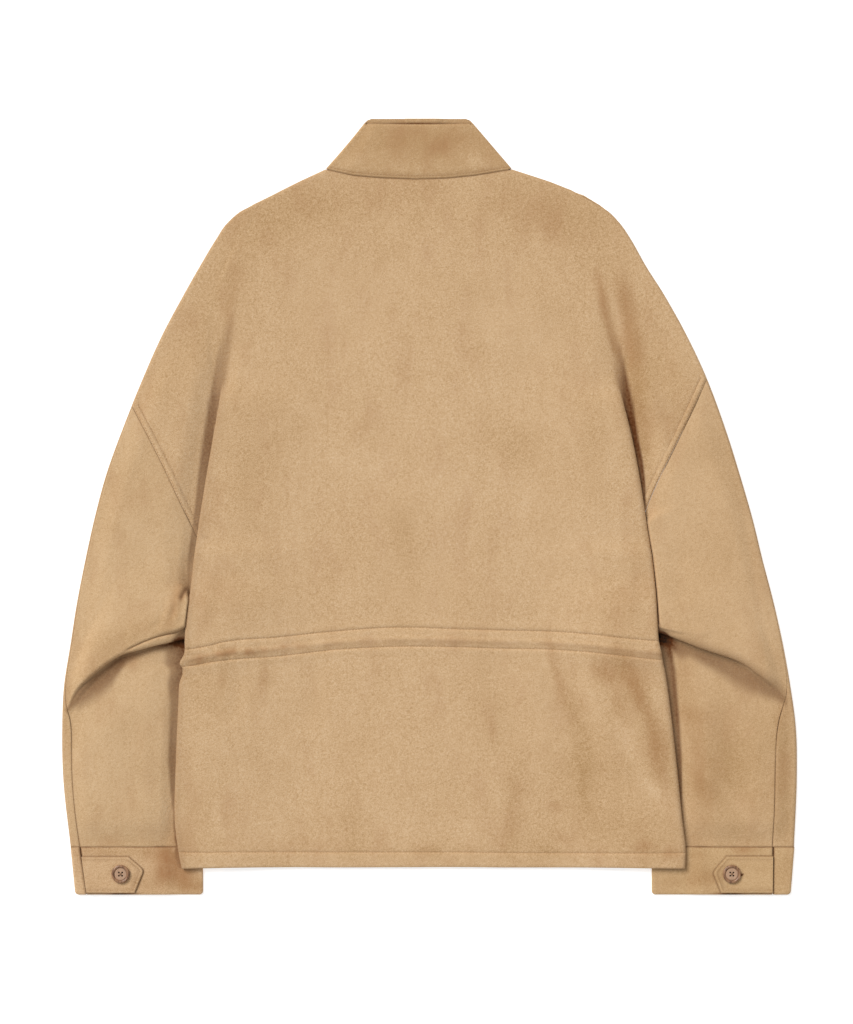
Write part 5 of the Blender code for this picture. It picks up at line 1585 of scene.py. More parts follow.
@dataclass
class Collar:
    """The stand collar, folded flat: its back half above, the ends of its front half lapping beneath."""

    left_top: float = -71.0   # x of the upper edge's left end
    right_top: float = 47.6   # x of its right end
    back_top: float = 410.6   # height of the back half's upper edge
    front_top: float = 417.0  # height of the front half's
    puff: float = 1.3         # how far the back half swells
    overhang: float = 2.9     # how far the rolls stand out beyond the back half's ends
    sag: float = 0.9          # how far the middle of its upper edge sinks
    # How far the front half's ends lean in, for each millimetre above the back half.
    lean: float = 0.7

    def __post_init__(self) -> None:
        """Lay out the rows up the collar and the stops round it."""
        self.rows = np.array((0, 0.008, 0.03, 0.045, 0.06, 0.1, 0.15, 0.21, 0.28, 0.35, 0.42, 0.49, 0.56,
                              0.63, 0.7, 0.76, 0.81, 0.85, 0.885, 0.915, 0.94, 0.96, 0.975, 0.987,
                              0.995, 1.0))
        angles = np.linspace(0, 180, 13)[1:-1]
        under_end = (*np.linspace(0, 0.88, 12), 0.91, 0.93, 0.95, 0.965, 0.975, 0.985, 0.993, 1.0)
        right_floor = (0, 0.015, 0.03, 0.05, 0.075, 0.1, 0.14, 0.2, 0.32, 0.48, 0.64, 0.8, 0.92)
        self.stops = stops((Stretch.UNDER_END, under_end), (Stretch.LEFT_ROLL, angles),
                           (Stretch.BACK, np.linspace(0, 1, 84)), (Stretch.RIGHT_ROLL, angles[::-1]),
                           (Stretch.RIGHT_FLOOR, right_floor),
                           (Stretch.OVER_END, (48, 41, 37, 34, 32, 30, 26, 18, 9, 3, 0)))

    def ends(self, share: Value) -> Pair:
        """Return the x of the back half's two ends at a share of the way up.

        Args:
            share: the share.

        Returns:
            The left end's x, and the right end's.
        """
        radius = (COLLAR_BACK - COLLAR_WALL / 2) / 2
        corner = 0.3 * (1 - dome((1 - share) * 60, 4.0))
        left = blend(NECK[0].x, self.left_top, share) + COLLAR_WALL / 2 + radius + 3.0 * share * (1 - share)
        return left + corner, blend(NECK[-1].x, self.right_top, share) - COLLAR_WALL / 2 - radius - corner

    def back_height(self, x: Array, y: Array) -> Array:
        """Return the height of the collar's back half.

        Args:
            x, y: places across and up.

        Returns:
            One height for each place.
        """
        share = np.clip((y - top_line(x)) / (self.back_top - top_line(x)), 0, 1)
        left, right = self.ends(share)
        at = np.clip((x - left) / (right - left), 0, 1)
        crown = self.puff * ease(0, 0.12, at) * ease(1, 0.88, at) * dome(share, 0.3)
        above = y - top_line(x) - COLLAR_SEAM
        below = self.back_top - self.sag * np.sin(math.pi * at) - y
        edge = 1.0 * (1 - dome(above, 1.6)) + 0.9 * (1 - dome(below, 2.2))
        height = COLLAR_BACK + crown - edge - 0.4 * bell(above - COLLAR_ROW, 1.0)
        return height + 0.35 * waver(x, y, 34, 2.0)

    def plan(self, stop: Stop, share: Array) -> tuple[Array, Array, float]:
        """Return where a stop stands.

        Args:
            stop: the stop.
            share: shares of the way up.

        Returns:
            Its x and height at each share, and how far it belongs to the front half.
        """
        rest = COLLAR_WALL / 2
        radius = (COLLAR_BACK - rest) / 2
        left, right = self.ends(share)
        over, under = CENTRE - LAP / 2, CENTRE + LAP / 2
        flat = np.full_like(share, rest)
        if stop.stretch is Stretch.BACK:
            return blend(left, right, stop.at), np.full_like(share, COLLAR_BACK), 0.0
        if stop.stretch is Stretch.UNDER_END:
            return blend(under, left, stop.at), flat, 1.0
        if stop.stretch is Stretch.RIGHT_FLOOR:
            return blend(right, under + 18, stop.at), flat, 1.0
        if stop.stretch is Stretch.OVER_END:
            x = over + stop.at + np.zeros_like(share)
            return x, rest + (COLLAR_WALL + GAP) * (1 - ease(2, 16, x - CENTRE - LAP / 2)), 1.0
        angle = math.radians(stop.at)
        out = radius * math.sin(angle)
        x = left - out if stop.stretch is Stretch.LEFT_ROLL else right + out
        return x, flat + radius * (1 - math.cos(angle)), 1 - stop.at / 180

    def place(self, column: Array, row: Array) -> Points:
        """Place points of the collar.

        Args:
            column: each point's stop.
            row: each point's row.

        Returns:
            x, y and z.
        """
        x, y, z = (np.zeros(len(column)) for _ in range(3))
        left, right = self.ends(1.0)
        for index, stop in enumerate(self.stops):
            chosen = column == index
            share = self.rows[row[chosen]]
            across, height, front = self.plan(stop, share)
            foot, _, _ = self.plan(stop, np.zeros(1))
            bottom = top_line(foot) + COLLAR_SEAM + COLLAR_CLEAR * (front > 0)
            sag = self.sag * math.sin(math.pi * stop.at) if stop.stretch is Stretch.BACK else 0.0
            inset = np.minimum(across - left, right - across) + self.overhang
            rise = (self.front_top - self.back_top) * dome(inset, 5.0) * ease(0.35, 0.85, front)
            up = blend(bottom, self.back_top - sag + rise, share)
            lean = self.lean * np.maximum(0, up - self.back_top) * (1 - ease(0, 12, inset))
            x[chosen] = across + lean * np.where(across < CENTRE, 1, -1)
            y[chosen] = up
            z[chosen] = self.back_height(across, up) if stop.stretch is Stretch.BACK else height
        return x, y, z

    def shade(self, x: Array, y: Array) -> Array:
        """Return the dark lines along the neck seam and its row of stitches, and the shadow painted behind
        the back half's top edge.

        Args:
            x, y: places across and up.

        Returns:
            One darkness for each place.
        """
        above = y - top_line(x) - COLLAR_SEAM
        # Shadow painted in the gap behind the back half's top edge, darkest in the middle.
        middle = 0.15 + 0.80 * bell(x + 12, 36)
        behind = middle * ease(self.back_top - 1.4, self.back_top - 0.2, y)
        behind = behind * (1 - ease(0.4, 4.0, y - self.back_top))
        return np.maximum.reduce([0.5 * bell(above, 0.9), 0.22 * bell(above - COLLAR_ROW, 0.7), behind])

    def make(self, finish: Material) -> tuple[Sheet, Piece]:
        """Build the collar.

        Args:
            finish: its suede.

        Returns:
            The sheet and its piece.
        """
        sheet = Sheet("stand_collar", "collar", COLLAR_WALL, (0.43, 0.066), 0.80, ("floor",), COLLAR_MARKS,
                      self.shade, shade_below=True)
        sheet.add_grid(len(self.stops), len(self.rows), self.place)
        return sheet, sheet.build(finish)


@dataclass
class Cuff:
    """One cuff and its buttoned tab."""

    side: Side
    corner: float = 3.0     # radius of its lower corners
    slit_half: float = 0.7  # half the slit's width

    def __post_init__(self) -> None:
        """Lay out the rows and stops of the band, and those of the tab."""
        angles = np.linspace(0, 180, 11)[1:-1]
        self.stops = stops((Stretch.STRIP, (0.0, 0.02, 0.08, 0.3, 0.6)), (Stretch.OUTER_ROLL, (180,)),
                           (Stretch.OUTER_ROLL, angles[::-1]), (Stretch.FLOOR, np.linspace(0, 1, 12)),
                           (Stretch.INNER_ROLL, angles), (Stretch.TOP, np.linspace(0, 0.97, 84)),
                           (Stretch.TOP, (0.985, 0.994, 1.0)))
        self.rows = np.array([0, 0.01, 0.025, 0.05, *np.linspace(0.075, 0.92, 34),
                              0.945, 0.96, 0.975, 0.988, 0.995, 1])
        self.tab = TABS[self.side.name]
        self.tab_shares = np.array([0, 0.01, 0.03, *np.linspace(0.07, 0.94, 22),
                                    0.965, 0.98, 0.99, 0.997, 1.0])
        self.tab_rows = np.array([0, 0.01, 0.03, 0.06, *np.linspace(0.1, 0.9, 15), 0.94, 0.97, 0.99, 1])

    def edges(self, share: Value) -> list[Value]:
        """Return the outer edge, slit and inner edge at a share of the way down."""
        return [blend(a, b, share) for a, b in zip(*CUFFS[self.side.name])]

    def slit(self, y: Value) -> Value:
        """Return the slit's x at a height."""
        return self.edges((y - CUFF_TOP) / (CUFF_BOTTOM - CUFF_TOP))[1]

    def surface(self, x: Array, y: Array) -> Array:
        """Return the height of the cuff's upper layer with its creases.

        Args:
            x, y: places across and up.

        Returns:
            One height for each place.
        """
        wave = 0.45 * waver(x, y, 22, 4.0 + self.side.outward)
        seam = 1.0 * (1 - dome(CUFF_TOP - GAP - y, 2.0)) + 0.9 * (1 - dome(y - CUFF_BOTTOM, 2.4))
        tucked = ease(-4, 14, self.side.beside(x, y))
        return self.side.cuff_height(x, y) + wave * tucked - seam

    def shade(self, x: Array, y: Array) -> Array:
        """Return the shade painted round and under the tab and beside the body, and the dark lines along
        the cuff's seam and slit.

        Args:
            x, y: places across and up.

        Returns:
            One darkness for each place.
        """
        past = (self.tab_end(np.clip(y, TAB_BOTTOM, self.tab.top)) - x) * self.side.outward
        above, below = y - self.tab.top, TAB_BOTTOM - y
        outside = np.maximum(np.maximum(above, below), 0.8 * past)
        along = (self.slit(y) - x) * self.side.outward
        # Painted shadow round the tab's edge, and under its lower edge by the button.
        edge = 0.50 * (1 - ease(0.2, 2.0, outside)) * (outside > -3) * ease(-2, 1, along)
        edge = np.maximum(edge, 1.5 * bell(below - 0.6, 1.1) * bell(x - self.tab.button, 14))
        seam = 0.70 * bell(CUFF_TOP - GAP - y, 0.9) * (1 + 0.5 * waver(x, 0 * y, 11, 31.0))
        cut = (0.85 + 0.75 * ease(-386, -379, y)) * bell(along, 1.2)
        # Shade painted beside the body's edge, only above the hem.
        behind = self.side.hollow_shade(x, y) * ease(-391, -387, y)
        return np.maximum.reduce([edge, seam, cut, behind])

    def tab_shade(self, x: Array, y: Array) -> Array:
        """Return the dark lines along the tab's edge, its rows of stitches and its buttonhole, and the
        shadow painted beneath the button.

        Args:
            x, y: places across and up.

        Returns:
            One darkness for each place.
        """
        inset = self.tab_inset(x, y)
        inwards = (x - self.tab.button) * self.side.outward
        within = (1 - ease(self.tab.hole - 0.6, self.tab.hole + 0.4, inwards)) * (inwards > 0)
        hole = 1.6 * bell(y - BUTTON_Y + 0.6, 0.9) * within
        rows = 0.26 * (bell(inset - TAB_ROW, 0.8) + 0.6 * bell(inset - 4.9, 0.7))
        # Shadow painted on the tab beneath the button, seen through its holes.
        beneath = 1.8 * (np.hypot(x - self.tab.button, y - BUTTON_Y) < BUTTON_RADIUS / 2)
        return np.maximum.reduce([0.40 * (1 - ease(0.0, 1.2, inset)), rows, hole, beneath])

    def line(self, stop: Stop, share: Array) -> Points:
        """Return the points of one stop.

        Args:
            stop: the stop.
            share: shares of the way down.

        Returns:
            x, y and z.
        """
        side, at = self.side, stop.at
        rest = CUFF_WALL / 2
        y = blend(CUFF_TOP - GAP, CUFF_BOTTOM, share)
        outer, slit, inner = self.edges(share)
        cut = self.corner * (1 - dome(y - CUFF_BOTTOM, self.corner))
        outer_radius = (side.cuff_height(outer - side.outward * cut, y) - rest) / 2
        outer_x = outer - side.outward * cut - side.outward * (rest + outer_radius)
        inner_radius = CUFF_LOFT / 2
        inner_x = inner + side.outward * cut + side.outward * (rest + inner_radius)
        if stop.stretch is Stretch.STRIP:
            x = blend(slit + side.outward * self.slit_half, outer_x, at)
            return x, y, self.surface(x, y) - 0.7 * (1 - min(1.0, at / 0.08)) ** 2
        if stop.stretch is Stretch.FLOOR:
            return blend(outer_x, inner_x, at), y, np.full_like(y, rest)
        if stop.stretch is Stretch.TOP:
            x = blend(inner_x, slit - side.outward * self.slit_half, at)
            edge = 0.8 * max(0.0, (at - 0.97) / 0.03) ** 2
            return x, y, self.surface(x, y) + 0.4 * ease(0.9, 0.99, at) - edge
        angle = math.radians(at)
        if stop.stretch is Stretch.OUTER_ROLL:
            radius, x = outer_radius, outer_x + side.outward * outer_radius * math.sin(angle)
        else:
            radius, x = inner_radius, inner_x - side.outward * inner_radius * math.sin(angle)
        creased = (self.surface(x, y) - side.cuff_height(x, y)) * ease(90, 180, at)
        return x, y, rest + radius * (1 - math.cos(angle)) + creased

    def place(self, column: Array, row: Array) -> Points:
        """Place points of the cuff.

        Args:
            column: each point's stop.
            row: each point's row.

        Returns:
            x, y and z.
        """
        points = np.zeros((3, len(column)))
        for index, stop in enumerate(self.stops):
            chosen = column == index
            points[:, chosen] = self.line(stop, self.rows[row[chosen]])
        return tuple(points)

    def tab_end(self, y: Value) -> Value:
        """Return the tab's end at a height, its point a little rounded."""
        tab = self.tab
        x = np.interp(y, (TAB_BOTTOM, tab.point, tab.top), (tab.lower, tab.tip, tab.upper))
        return x + self.side.outward * 0.8 * bell(y - tab.point, 1.6)

    def tab_point(self, column: Array, row: Array) -> Points:
        """Place points of the tab.

        Args:
            column: each point's column, from the slit.
            row: each point's row.

        Returns:
            x, y and z.
        """
        y = blend(self.tab.top, TAB_BOTTOM, self.tab_rows[row])
        x = blend(self.slit(y) - self.side.outward * GAP, self.tab_end(y), self.tab_shares[column])
        return x, y, self.tab_height(x, y)

    def tab_inset(self, x: Value, y: Value) -> Value:
        """Return the distance in from the tab's edge."""
        end = np.abs(self.tab_end(y) - x)
        return np.minimum(np.minimum(self.tab.top - y, y - TAB_BOTTOM), 0.82 * end)

    def tab_height(self, x: Value, y: Value) -> Value:
        """Return the height of the tab's middle.

        Args:
            x, y: places across and up.

        Returns:
            One height for each place.
        """
        edge = self.tab_inset(x, y)
        button = np.hypot(x - self.tab.button, y - BUTTON_Y)
        crown = 0.7 * dome(edge, 2.0) - 0.35 * bell(edge - TAB_ROW, 0.9) - 0.35 * bell(button, 9)
        return self.side.cuff_height(x, y) + CUFF_WALL / 2 + SEAT + WALL / 2 + crown

    def tab_seams(self) -> list[Array]:
        """Return the lines of stitching round the tab, in plan.

        Returns:
            The lines, each an array of its two ends.
        """
        tab, outward = self.tab, self.side.outward
        upper, lower = tab.top - TAB_ROW, TAB_BOTTOM + TAB_ROW
        corners = [(self.edges(0.2)[1] - outward * 3, upper), (tab.upper + outward * 1.2, upper),
                   (tab.tip + outward * 3.8, tab.point), (tab.lower + outward * 1.4, lower),
                   (self.edges(0.9)[1] - outward * 3, lower)]
        return [np.array(pair, dtype=float) for pair in zip(corners, corners[1:])]

    def make(self, finish: Material) -> list[tuple[Sheet, Piece]]:
        """Build the cuff and its tab.

        Args:
            finish: their suede.

        Returns:
            Each piece with its sheet, the cuff first.
        """
        name = self.side.name
        marks = CUFF_MARKS[name]
        cuff = Sheet(f"cuff_{name}_band", f"cuff_{name}", CUFF_WALL, (0.31, 0.053), 0.95, ("floor",), marks,
                     self.shade)
        cuff.add_grid(len(self.stops), len(self.rows), self.place)
        tab = Sheet(f"cuff_{name}_strap", f"cuff_tab_{name}", WALL, (0.07, 0.039), 0.86,
                    (f"cuff_{name}_band",), marks, self.tab_shade)
        tab.add_grid(len(self.tab_shares), len(self.tab_rows), self.tab_point)
        return [(sheet, sheet.build(finish)) for sheet in (cuff, tab)]


def mesh_piece(name: str, made: bmesh.types.BMesh, place: Vector, finish: Material, smooth: bool) -> Piece:
    """Turn a mesh in millimetres into a piece at the origin, its place in its mesh.

    Args:
        name: the piece's name.
        made: the mesh, which is used up.
        place: where it goes, in millimetres.
        finish: its material.
        smooth: whether it is shaded smooth.

    Returns:
        The piece.
    """
    bmesh.ops.transform(made, matrix=Matrix.Scale(MM, 4) @ Matrix.Translation(place), verts=made.verts)
    data = bpy.data.meshes.new(name)
    made.to_mesh(data)
    made.free()
    if smooth:
        data.shade_smooth()
    data.materials.append(finish)
    piece = bpy.data.objects.new(name, data)
    bpy.context.scene.collection.objects.link(piece)
    return piece


@dataclass
class HornButton:
    """A four-hole horn button with a raised rim, sewn on with crossed thread."""

    cuff: Cuff              # the cuff whose tab it closes
    rim: float = 2.5        # width of the rim
    dish: float = 1.0       # how low the face lies inside the rim
    groove: float = 1.5     # how low the groove beside the rim is
    hole: float = 0.95      # radius of a hole
    spread: float = 1.75    # from the button's middle to a hole's, across and along
    sides: int = 56         # facets round the edge
    softness: float = 0.18  # width of its bevelled edges

    def __post_init__(self) -> None:
        """Find the middle of the button's back, on the tab."""
        x, name = self.cuff.tab.button, self.cuff.side.name
        top = float(self.cuff.tab_height(np.array(x), np.array(BUTTON_Y))) + WALL / 2
        self.seat = Vector((x, BUTTON_Y, top + SEAT))
        self.name = f"button_{name}"

    def profile(self) -> list[tuple[float, float]]:
        """Return the turned section, from the face's middle round to the back's.

        Returns:
            Its points as (radius, height).
        """
        top, radius, rim = BUTTON_THICK, BUTTON_RADIUS, BUTTON_RADIUS - self.rim
        face = [(0.0, top - self.dish), (rim - 2.0, top - self.dish), (rim - 1.2, top - self.dish * 0.92),
                (rim - 0.8, top - self.groove), (rim - 0.3, top - self.groove), (rim, top - 0.3),
                (rim + 0.6, top)]
        edge = [(radius - 0.9, top - 0.06), (radius - 0.35, top - 0.35), (radius, top - 1.0), (radius, 1.3),
                (radius - 0.5, 0.5), (radius - 1.6, 0.0), (0.0, 0.0)]
        return face + edge

    def drill(self, button: Piece, horn: Material) -> None:
        """Cut the four holes.

        Args:
            button: the button.
            horn: its finish.
        """
        made = bmesh.new()
        for across in (-self.spread, self.spread):
            for along in (-self.spread, self.spread):
                bmesh.ops.create_cone(made, cap_ends=True, segments=20, radius1=self.hole,
                                      radius2=self.hole, depth=12,
                                      matrix=Matrix.Translation((across, along, 0)))
        cutter = mesh_piece(self.name + "_drill", made, self.seat, horn, smooth=False)
        holes = button.modifiers.new("Holes", "BOOLEAN")
        holes.object = cutter
        cut = bpy.data.meshes.new_from_object(button.evaluated_get(bpy.context.evaluated_depsgraph_get()))
        button.modifiers.clear()
        button.data = cut
        bpy.data.objects.remove(cutter)

    def make(self, horn: Material, thread: Material) -> list[Piece]:
        """Build the button and the thread through its holes.

        Args:
            horn: the button's finish.
            thread: the thread's finish.

        Returns:
            The button, then its thread.
        """
        made = bmesh.new()
        points = [made.verts.new((radius, 0.0, height)) for radius, height in self.profile()]
        edges = [made.edges.new(pair) for pair in zip(points, points[1:])]
        bmesh.ops.spin(made, geom=points + edges, cent=(0, 0, 0), axis=(0, 0, 1), angle=math.tau,
                       steps=self.sides, use_merge=True)
        bmesh.ops.remove_doubles(made, verts=made.verts, dist=0.001)
        bmesh.ops.recalc_face_normals(made, faces=made.faces)
        button = mesh_piece(self.name + "_horn", made, self.seat, horn, smooth=False)
        self.drill(button, horn)
        cut = button.data
        cut.shade_smooth()
        middle = self.seat * MM
        shares = [(v.co.xy - middle.xy).length / (BUTTON_RADIUS * MM) for v in cut.vertices]
        dish = np.array([ease(0.74, 0.62, share) for share in shares], dtype=np.float32)
        cut.attributes.new("dish", "FLOAT", "POINT").data.foreach_set("value", dish)
        soft = button.modifiers.new("Soft edge", "BEVEL")
        soft.width = self.softness * MM
        soft.segments = 2
        soft.limit_method = "ANGLE"
        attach(button, "root")
        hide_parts(f"button_{self.cuff.side.name}")
        return [button, self.sewing(thread)]

    def sewing(self, thread: Material) -> Piece:
        """Build the crossed thread on the button's face.

        Args:
            thread: its finish.

        Returns:
            The piece.
        """
        made = bmesh.new()
        height = BUTTON_THICK - self.dish + 0.25
        long = self.spread * math.sqrt(2) - 0.7
        for turn in (45, 135):
            for shift in (-0.3, 0.3):
                turned = Matrix.Rotation(math.radians(turn), 4, "Z")
                laid = turned @ Matrix.Translation((0, shift, height + 0.25 * (turn == 135)))
                bmesh.ops.create_icosphere(made, subdivisions=2, radius=1.0,
                                           matrix=laid @ Matrix.Diagonal((long, 0.26, 0.30, 1.0)))
        piece = mesh_piece(self.name + "_thread", made, self.seat, thread, smooth=True)
        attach(piece, "root")
        return piece


@dataclass
class Stitching:
    """Rows of stitches that lie along lines on the cloth."""

    name: str
    surface: Callable[[Array, Array], Array]  # the height of the cloth's face above a place in plan
    pitch: float = 3.3                        # from one stitch to the next
    length: float = 2.3                       # how long a stitch shows
    width: float = 0.75                       # how wide it is
    half_thick: float = 0.34                  # half its thickness
    made: bmesh.types.BMesh = field(default_factory=bmesh.new)  # the stitches so far

    def run(self, line: Array) -> None:
        """Sew along a line in plan.

        Args:
            line: its points, one a row.
        """
        gaps = np.hypot(*np.diff(line, axis=0).T)
        along = np.concatenate([[0.0], np.cumsum(gaps)])
        starts = np.arange(self.pitch / 2, along[-1], self.pitch)
        middles, ahead, behind = (np.column_stack([np.interp(at, along, line[:, axis]) for axis in (0, 1)])
                                  for at in (starts, starts + 1, starts - 1))
        heights = self.surface(middles[:, 0], middles[:, 1])
        rise = self.surface(ahead[:, 0], ahead[:, 1]) - self.surface(behind[:, 0], behind[:, 1])
        shape = Matrix.Diagonal((self.length / 2, self.width / 2, self.half_thick, 1.0))
        for (x, y), z, (dx, dy), dz in zip(middles, heights, ahead - behind, rise):
            aim = Vector((dx, dy, dz)).to_track_quat("X", "Z").to_matrix().to_4x4()
            bmesh.ops.create_icosphere(self.made, subdivisions=1, radius=1.0,
                                       matrix=Matrix.Translation((x, y, z)) @ aim @ shape)

    def make(self, finish: Material) -> Piece:
        """Build the stitches as one piece."""
        piece = mesh_piece(self.name, self.made, Vector(), finish, smooth=True)
        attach(piece, "root")
        return piece


def linear(code: str) -> tuple[float, float, float, float]:
    """Turn an sRGB hex colour into linear values, opaque.

    Args:
        code: the colour, as "#rrggbb".

    Returns:
        Red, green, blue and 1.
    """
    parts = [int(code[i:i + 2], 16) / 255 for i in (1, 3, 5)]
    red, green, blue = (p / 12.92 if p <= 0.04045 else ((p + 0.055) / 1.055) ** 2.4 for p in parts)
    return red, green, blue, 1.0


def add_node(tree: bpy.types.NodeTree, kind: str, settings: dict[str, Any], inputs: dict) -> bpy.types.Node:
    """Add a node.

    Args:
        tree: where it goes.
        kind: its type.
        settings: its own properties.
        inputs: a value or an output to link, by input name or number.

    Returns:
        The node.
    """
    node = tree.nodes.new(kind)
    for name, value in settings.items():
        setattr(node, name, value)
    for name, value in inputs.items():
        if isinstance(value, bpy.types.NodeSocket):
            tree.links.new(value, node.inputs[name])
        else:
            node.inputs[name].default_value = value
    return node


class Recipe:
    """A new material with the few kinds of node that every finish is mixed from."""

    def __init__(self, name: str) -> None:
        """Start the material.

        Args:
            name: its name.
        """
        self.made = bpy.data.materials.new(name)
        self.made.use_nodes = True
        self.tree = self.made.node_tree
        self.place = add_node(self.tree, "ShaderNodeTexCoord", {}, {}).outputs["Object"]

    def noise(self, place: Any, size: float, detail: float, roughness: float,
              distortion: float = 0.0) -> Any:
        """Add noise.

        Args:
            place: the coordinates that it is read at.
            size: width of its features in metres.
            detail: how many finer layers it has.
            roughness: how strong they are.
            distortion: how far it is pulled about.

        Returns:
            Its value.
        """
        inputs = {"Vector": place, "Scale": 1 / size, "Detail": detail, "Roughness": roughness,
                  "Distortion": distortion}
        return add_node(self.tree, "ShaderNodeTexNoise", {}, inputs).outputs["Fac"]

    def stretch(self, place: Any, scale: tuple[float, ...], turn: float = 0.0) -> Any:
        """Stretch and turn coordinates."""
        inputs = {"Vector": place, "Rotation": (0.0, 0.0, turn), "Scale": scale}
        return add_node(self.tree, "ShaderNodeMapping", {}, inputs).outputs["Vector"]

    def maths(self, operation: str, *values: Any, clamp: bool = False) -> Any:
        """Add a step of arithmetic."""
        settings = {"operation": operation, "use_clamp": clamp}
        return add_node(self.tree, "ShaderNodeMath", settings, dict(enumerate(values))).outputs[0]

    def mix(self, share: Any, start: Any, end: str) -> Any:
        """Mix a share of a colour into another."""
        first = linear(start) if isinstance(start, str) else start
        inputs = {"Factor": share, 6: first, 7: linear(end)}
        return add_node(self.tree, "ShaderNodeMix", {"data_type": "RGBA"}, inputs).outputs[2]

    def attribute(self, name: str) -> Any:
        """Read one of the mesh's attributes."""
        return add_node(self.tree, "ShaderNodeAttribute", {"attribute_name": name}, {}).outputs["Fac"]

    def finish(self, **inputs: Any) -> Material:
        """Set the shader.

        Args:
            inputs: a value or an output to link, by input name with _ for each space.

        Returns:
            The material.
        """
        shader = self.tree.nodes["Principled BSDF"]
        for name, value in inputs.items():
            socket = shader.inputs[name.replace("_", " ")]
            if isinstance(value, bpy.types.NodeSocket):
                self.tree.links.new(value, socket)
            else:
                socket.default_value = value
        return self.made


@dataclass(frozen=True)
class Suede:
    """Split cowhide, dyed tan, its flesh side buffed to a matt nap that shows where it was brushed."""

    name: str
    base: str               # the dyed colour
    worn: str               # the paler tips of the nap
    seed: float             # where in the noise this skin was cut
    grain: float = 1.6      # how strongly its fine grain shows
    ochre: str = "#a9855a"  # the darker colour where the nap lies the other way
    ruddy: str = "#a2744d"  # the redder colour where it is bruised or damp
    fold: str = "#5e3416"   # the colour of painted shade in folds, hollows and under lips
    deep: str = "#1d130c"   # the colour of painted shadow at the bottom of a deep fold
    sheen: str = "#e8cda8"  # the colour of light grazing the nap

    def make(self) -> Material:
        """Build the material.

        Returns:
            The material.
        """
        mat = Recipe(self.name)
        shift = add_node(mat.tree, "ShaderNodeVectorMath", {"operation": "ADD"},
                         {0: mat.place, 1: (self.seed, self.seed * 0.7, 0.0)}).outputs[0]
        streaks = mat.stretch(shift, (1.0, 0.45, 1.0))
        # Cloudy areas about 60 mm wide, where a hand has brushed the nap one way or the other.
        cloud = mat.noise(shift, 0.060, 3.0, 0.55, 0.4)
        # Streaky blotches about 12 mm wide and 26 mm long, down the jacket, and tufts about 3 mm wide.
        blotch = mat.noise(streaks, 0.012, 3.0, 0.6)
        tuft = mat.noise(shift, 0.003, 2.0, 0.6)
        # Fibres are about 0.1 mm wide, too fine to show, so they are drawn 1 mm wide.
        fibre = mat.noise(shift, 0.0010, 1.0, 0.5)
        parts = [mat.maths("MULTIPLY_ADD", source, weight, -0.5 * weight) for source, weight in (
            (cloud, 0.56), (blotch, 0.50), (tuft, 0.75 * self.grain), (fibre, 1.5 * self.grain))]
        total = parts[0]
        for part in parts[1:]:
            total = mat.maths("ADD", total, part)
        edge = mat.maths("MULTIPLY_ADD", blotch, 1.6, 0.2)
        dark = mat.maths("SUBTRACT", mat.maths("MULTIPLY", mat.attribute("nap"), edge), total)
        colour = mat.mix(mat.maths("MULTIPLY", dark, -1.0, clamp=True), self.base, self.worn)
        colour = mat.mix(dark, colour, self.ochre)
        # Redder patches about 25 mm wide.
        warm = mat.maths("MULTIPLY_ADD", mat.noise(streaks, 0.025, 2.0, 0.6), 0.9, -0.47)
        bruised = mat.maths("MULTIPLY", mat.attribute("ruddy"), edge)
        colour = mat.mix(mat.maths("ADD", bruised, warm, clamp=True), colour, self.ruddy)
        # Painted shade, read from the mesh and broken up by the tufts.
        painted_shade = mat.maths("MULTIPLY", mat.attribute("fold"), mat.maths("MULTIPLY_ADD", tuft, 0.7, 0.65))
        colour = mat.mix(painted_shade, colour, self.fold)
        # Where the painted shade is strongest, it deepens into painted shadow.
        colour = mat.mix(mat.maths("MULTIPLY_ADD", painted_shade, 1.6, -1.6, clamp=True), colour, self.deep)
        relief = mat.maths("MULTIPLY_ADD", tuft, 1.6, fibre)
        bump = add_node(mat.tree, "ShaderNodeBump", {},
                        {"Strength": 0.5, "Distance": 0.0005, "Height": relief})
        return mat.finish(Base_Color=colour, Normal=bump.outputs["Normal"], Roughness=0.95,
                          Specular_IOR_Level=0.15, Sheen_Weight=0.12, Sheen_Roughness=0.6,
                          Sheen_Tint=linear(self.sheen))


@dataclass(frozen=True)
class Horn:
    """Buffalo horn, turned and half polished: streaked along its grain, paler where it is dished."""

    name: str = "polished_horn"
    base: str = "#8d6546"
    streak: str = "#a98160"
    dark: str = "#5c3c28"
    pale: str = "#c3a083"

    def make(self) -> Material:
        """Build the material.

        Returns:
            The material.
        """
        mat = Recipe(self.name)
        grain = mat.noise(mat.stretch(mat.place, (1.0, 0.28, 1.0), 0.6), 0.0035, 4.0, 0.6, 0.8)
        ramp = add_node(mat.tree, "ShaderNodeValToRGB", {}, {"Fac": grain})
        steps = ramp.color_ramp.elements
        steps[0].position, steps[0].color = 0.32, linear(self.dark)
        steps[1].position, steps[1].color = 0.68, linear(self.streak)
        steps.new(0.5).color = linear(self.base)
        dish = mat.maths("MULTIPLY", mat.attribute("dish"), 0.65)
        colour = mat.mix(dish, ramp.outputs["Color"], self.pale)
        return mat.finish(Base_Color=colour, Roughness=0.36, IOR=1.55)


@dataclass(frozen=True)
class Thread:
    """Spun cotton sewing thread, dyed to match: matt, with a fine twist."""

    name: str
    base: str
    dark: str

    def make(self) -> Material:
        """Build the material."""
        mat = Recipe(self.name)
        return mat.finish(Base_Color=mat.mix(mat.noise(mat.place, 0.0006, 1.0, 0.5), self.dark, self.base),
                          Roughness=0.8)


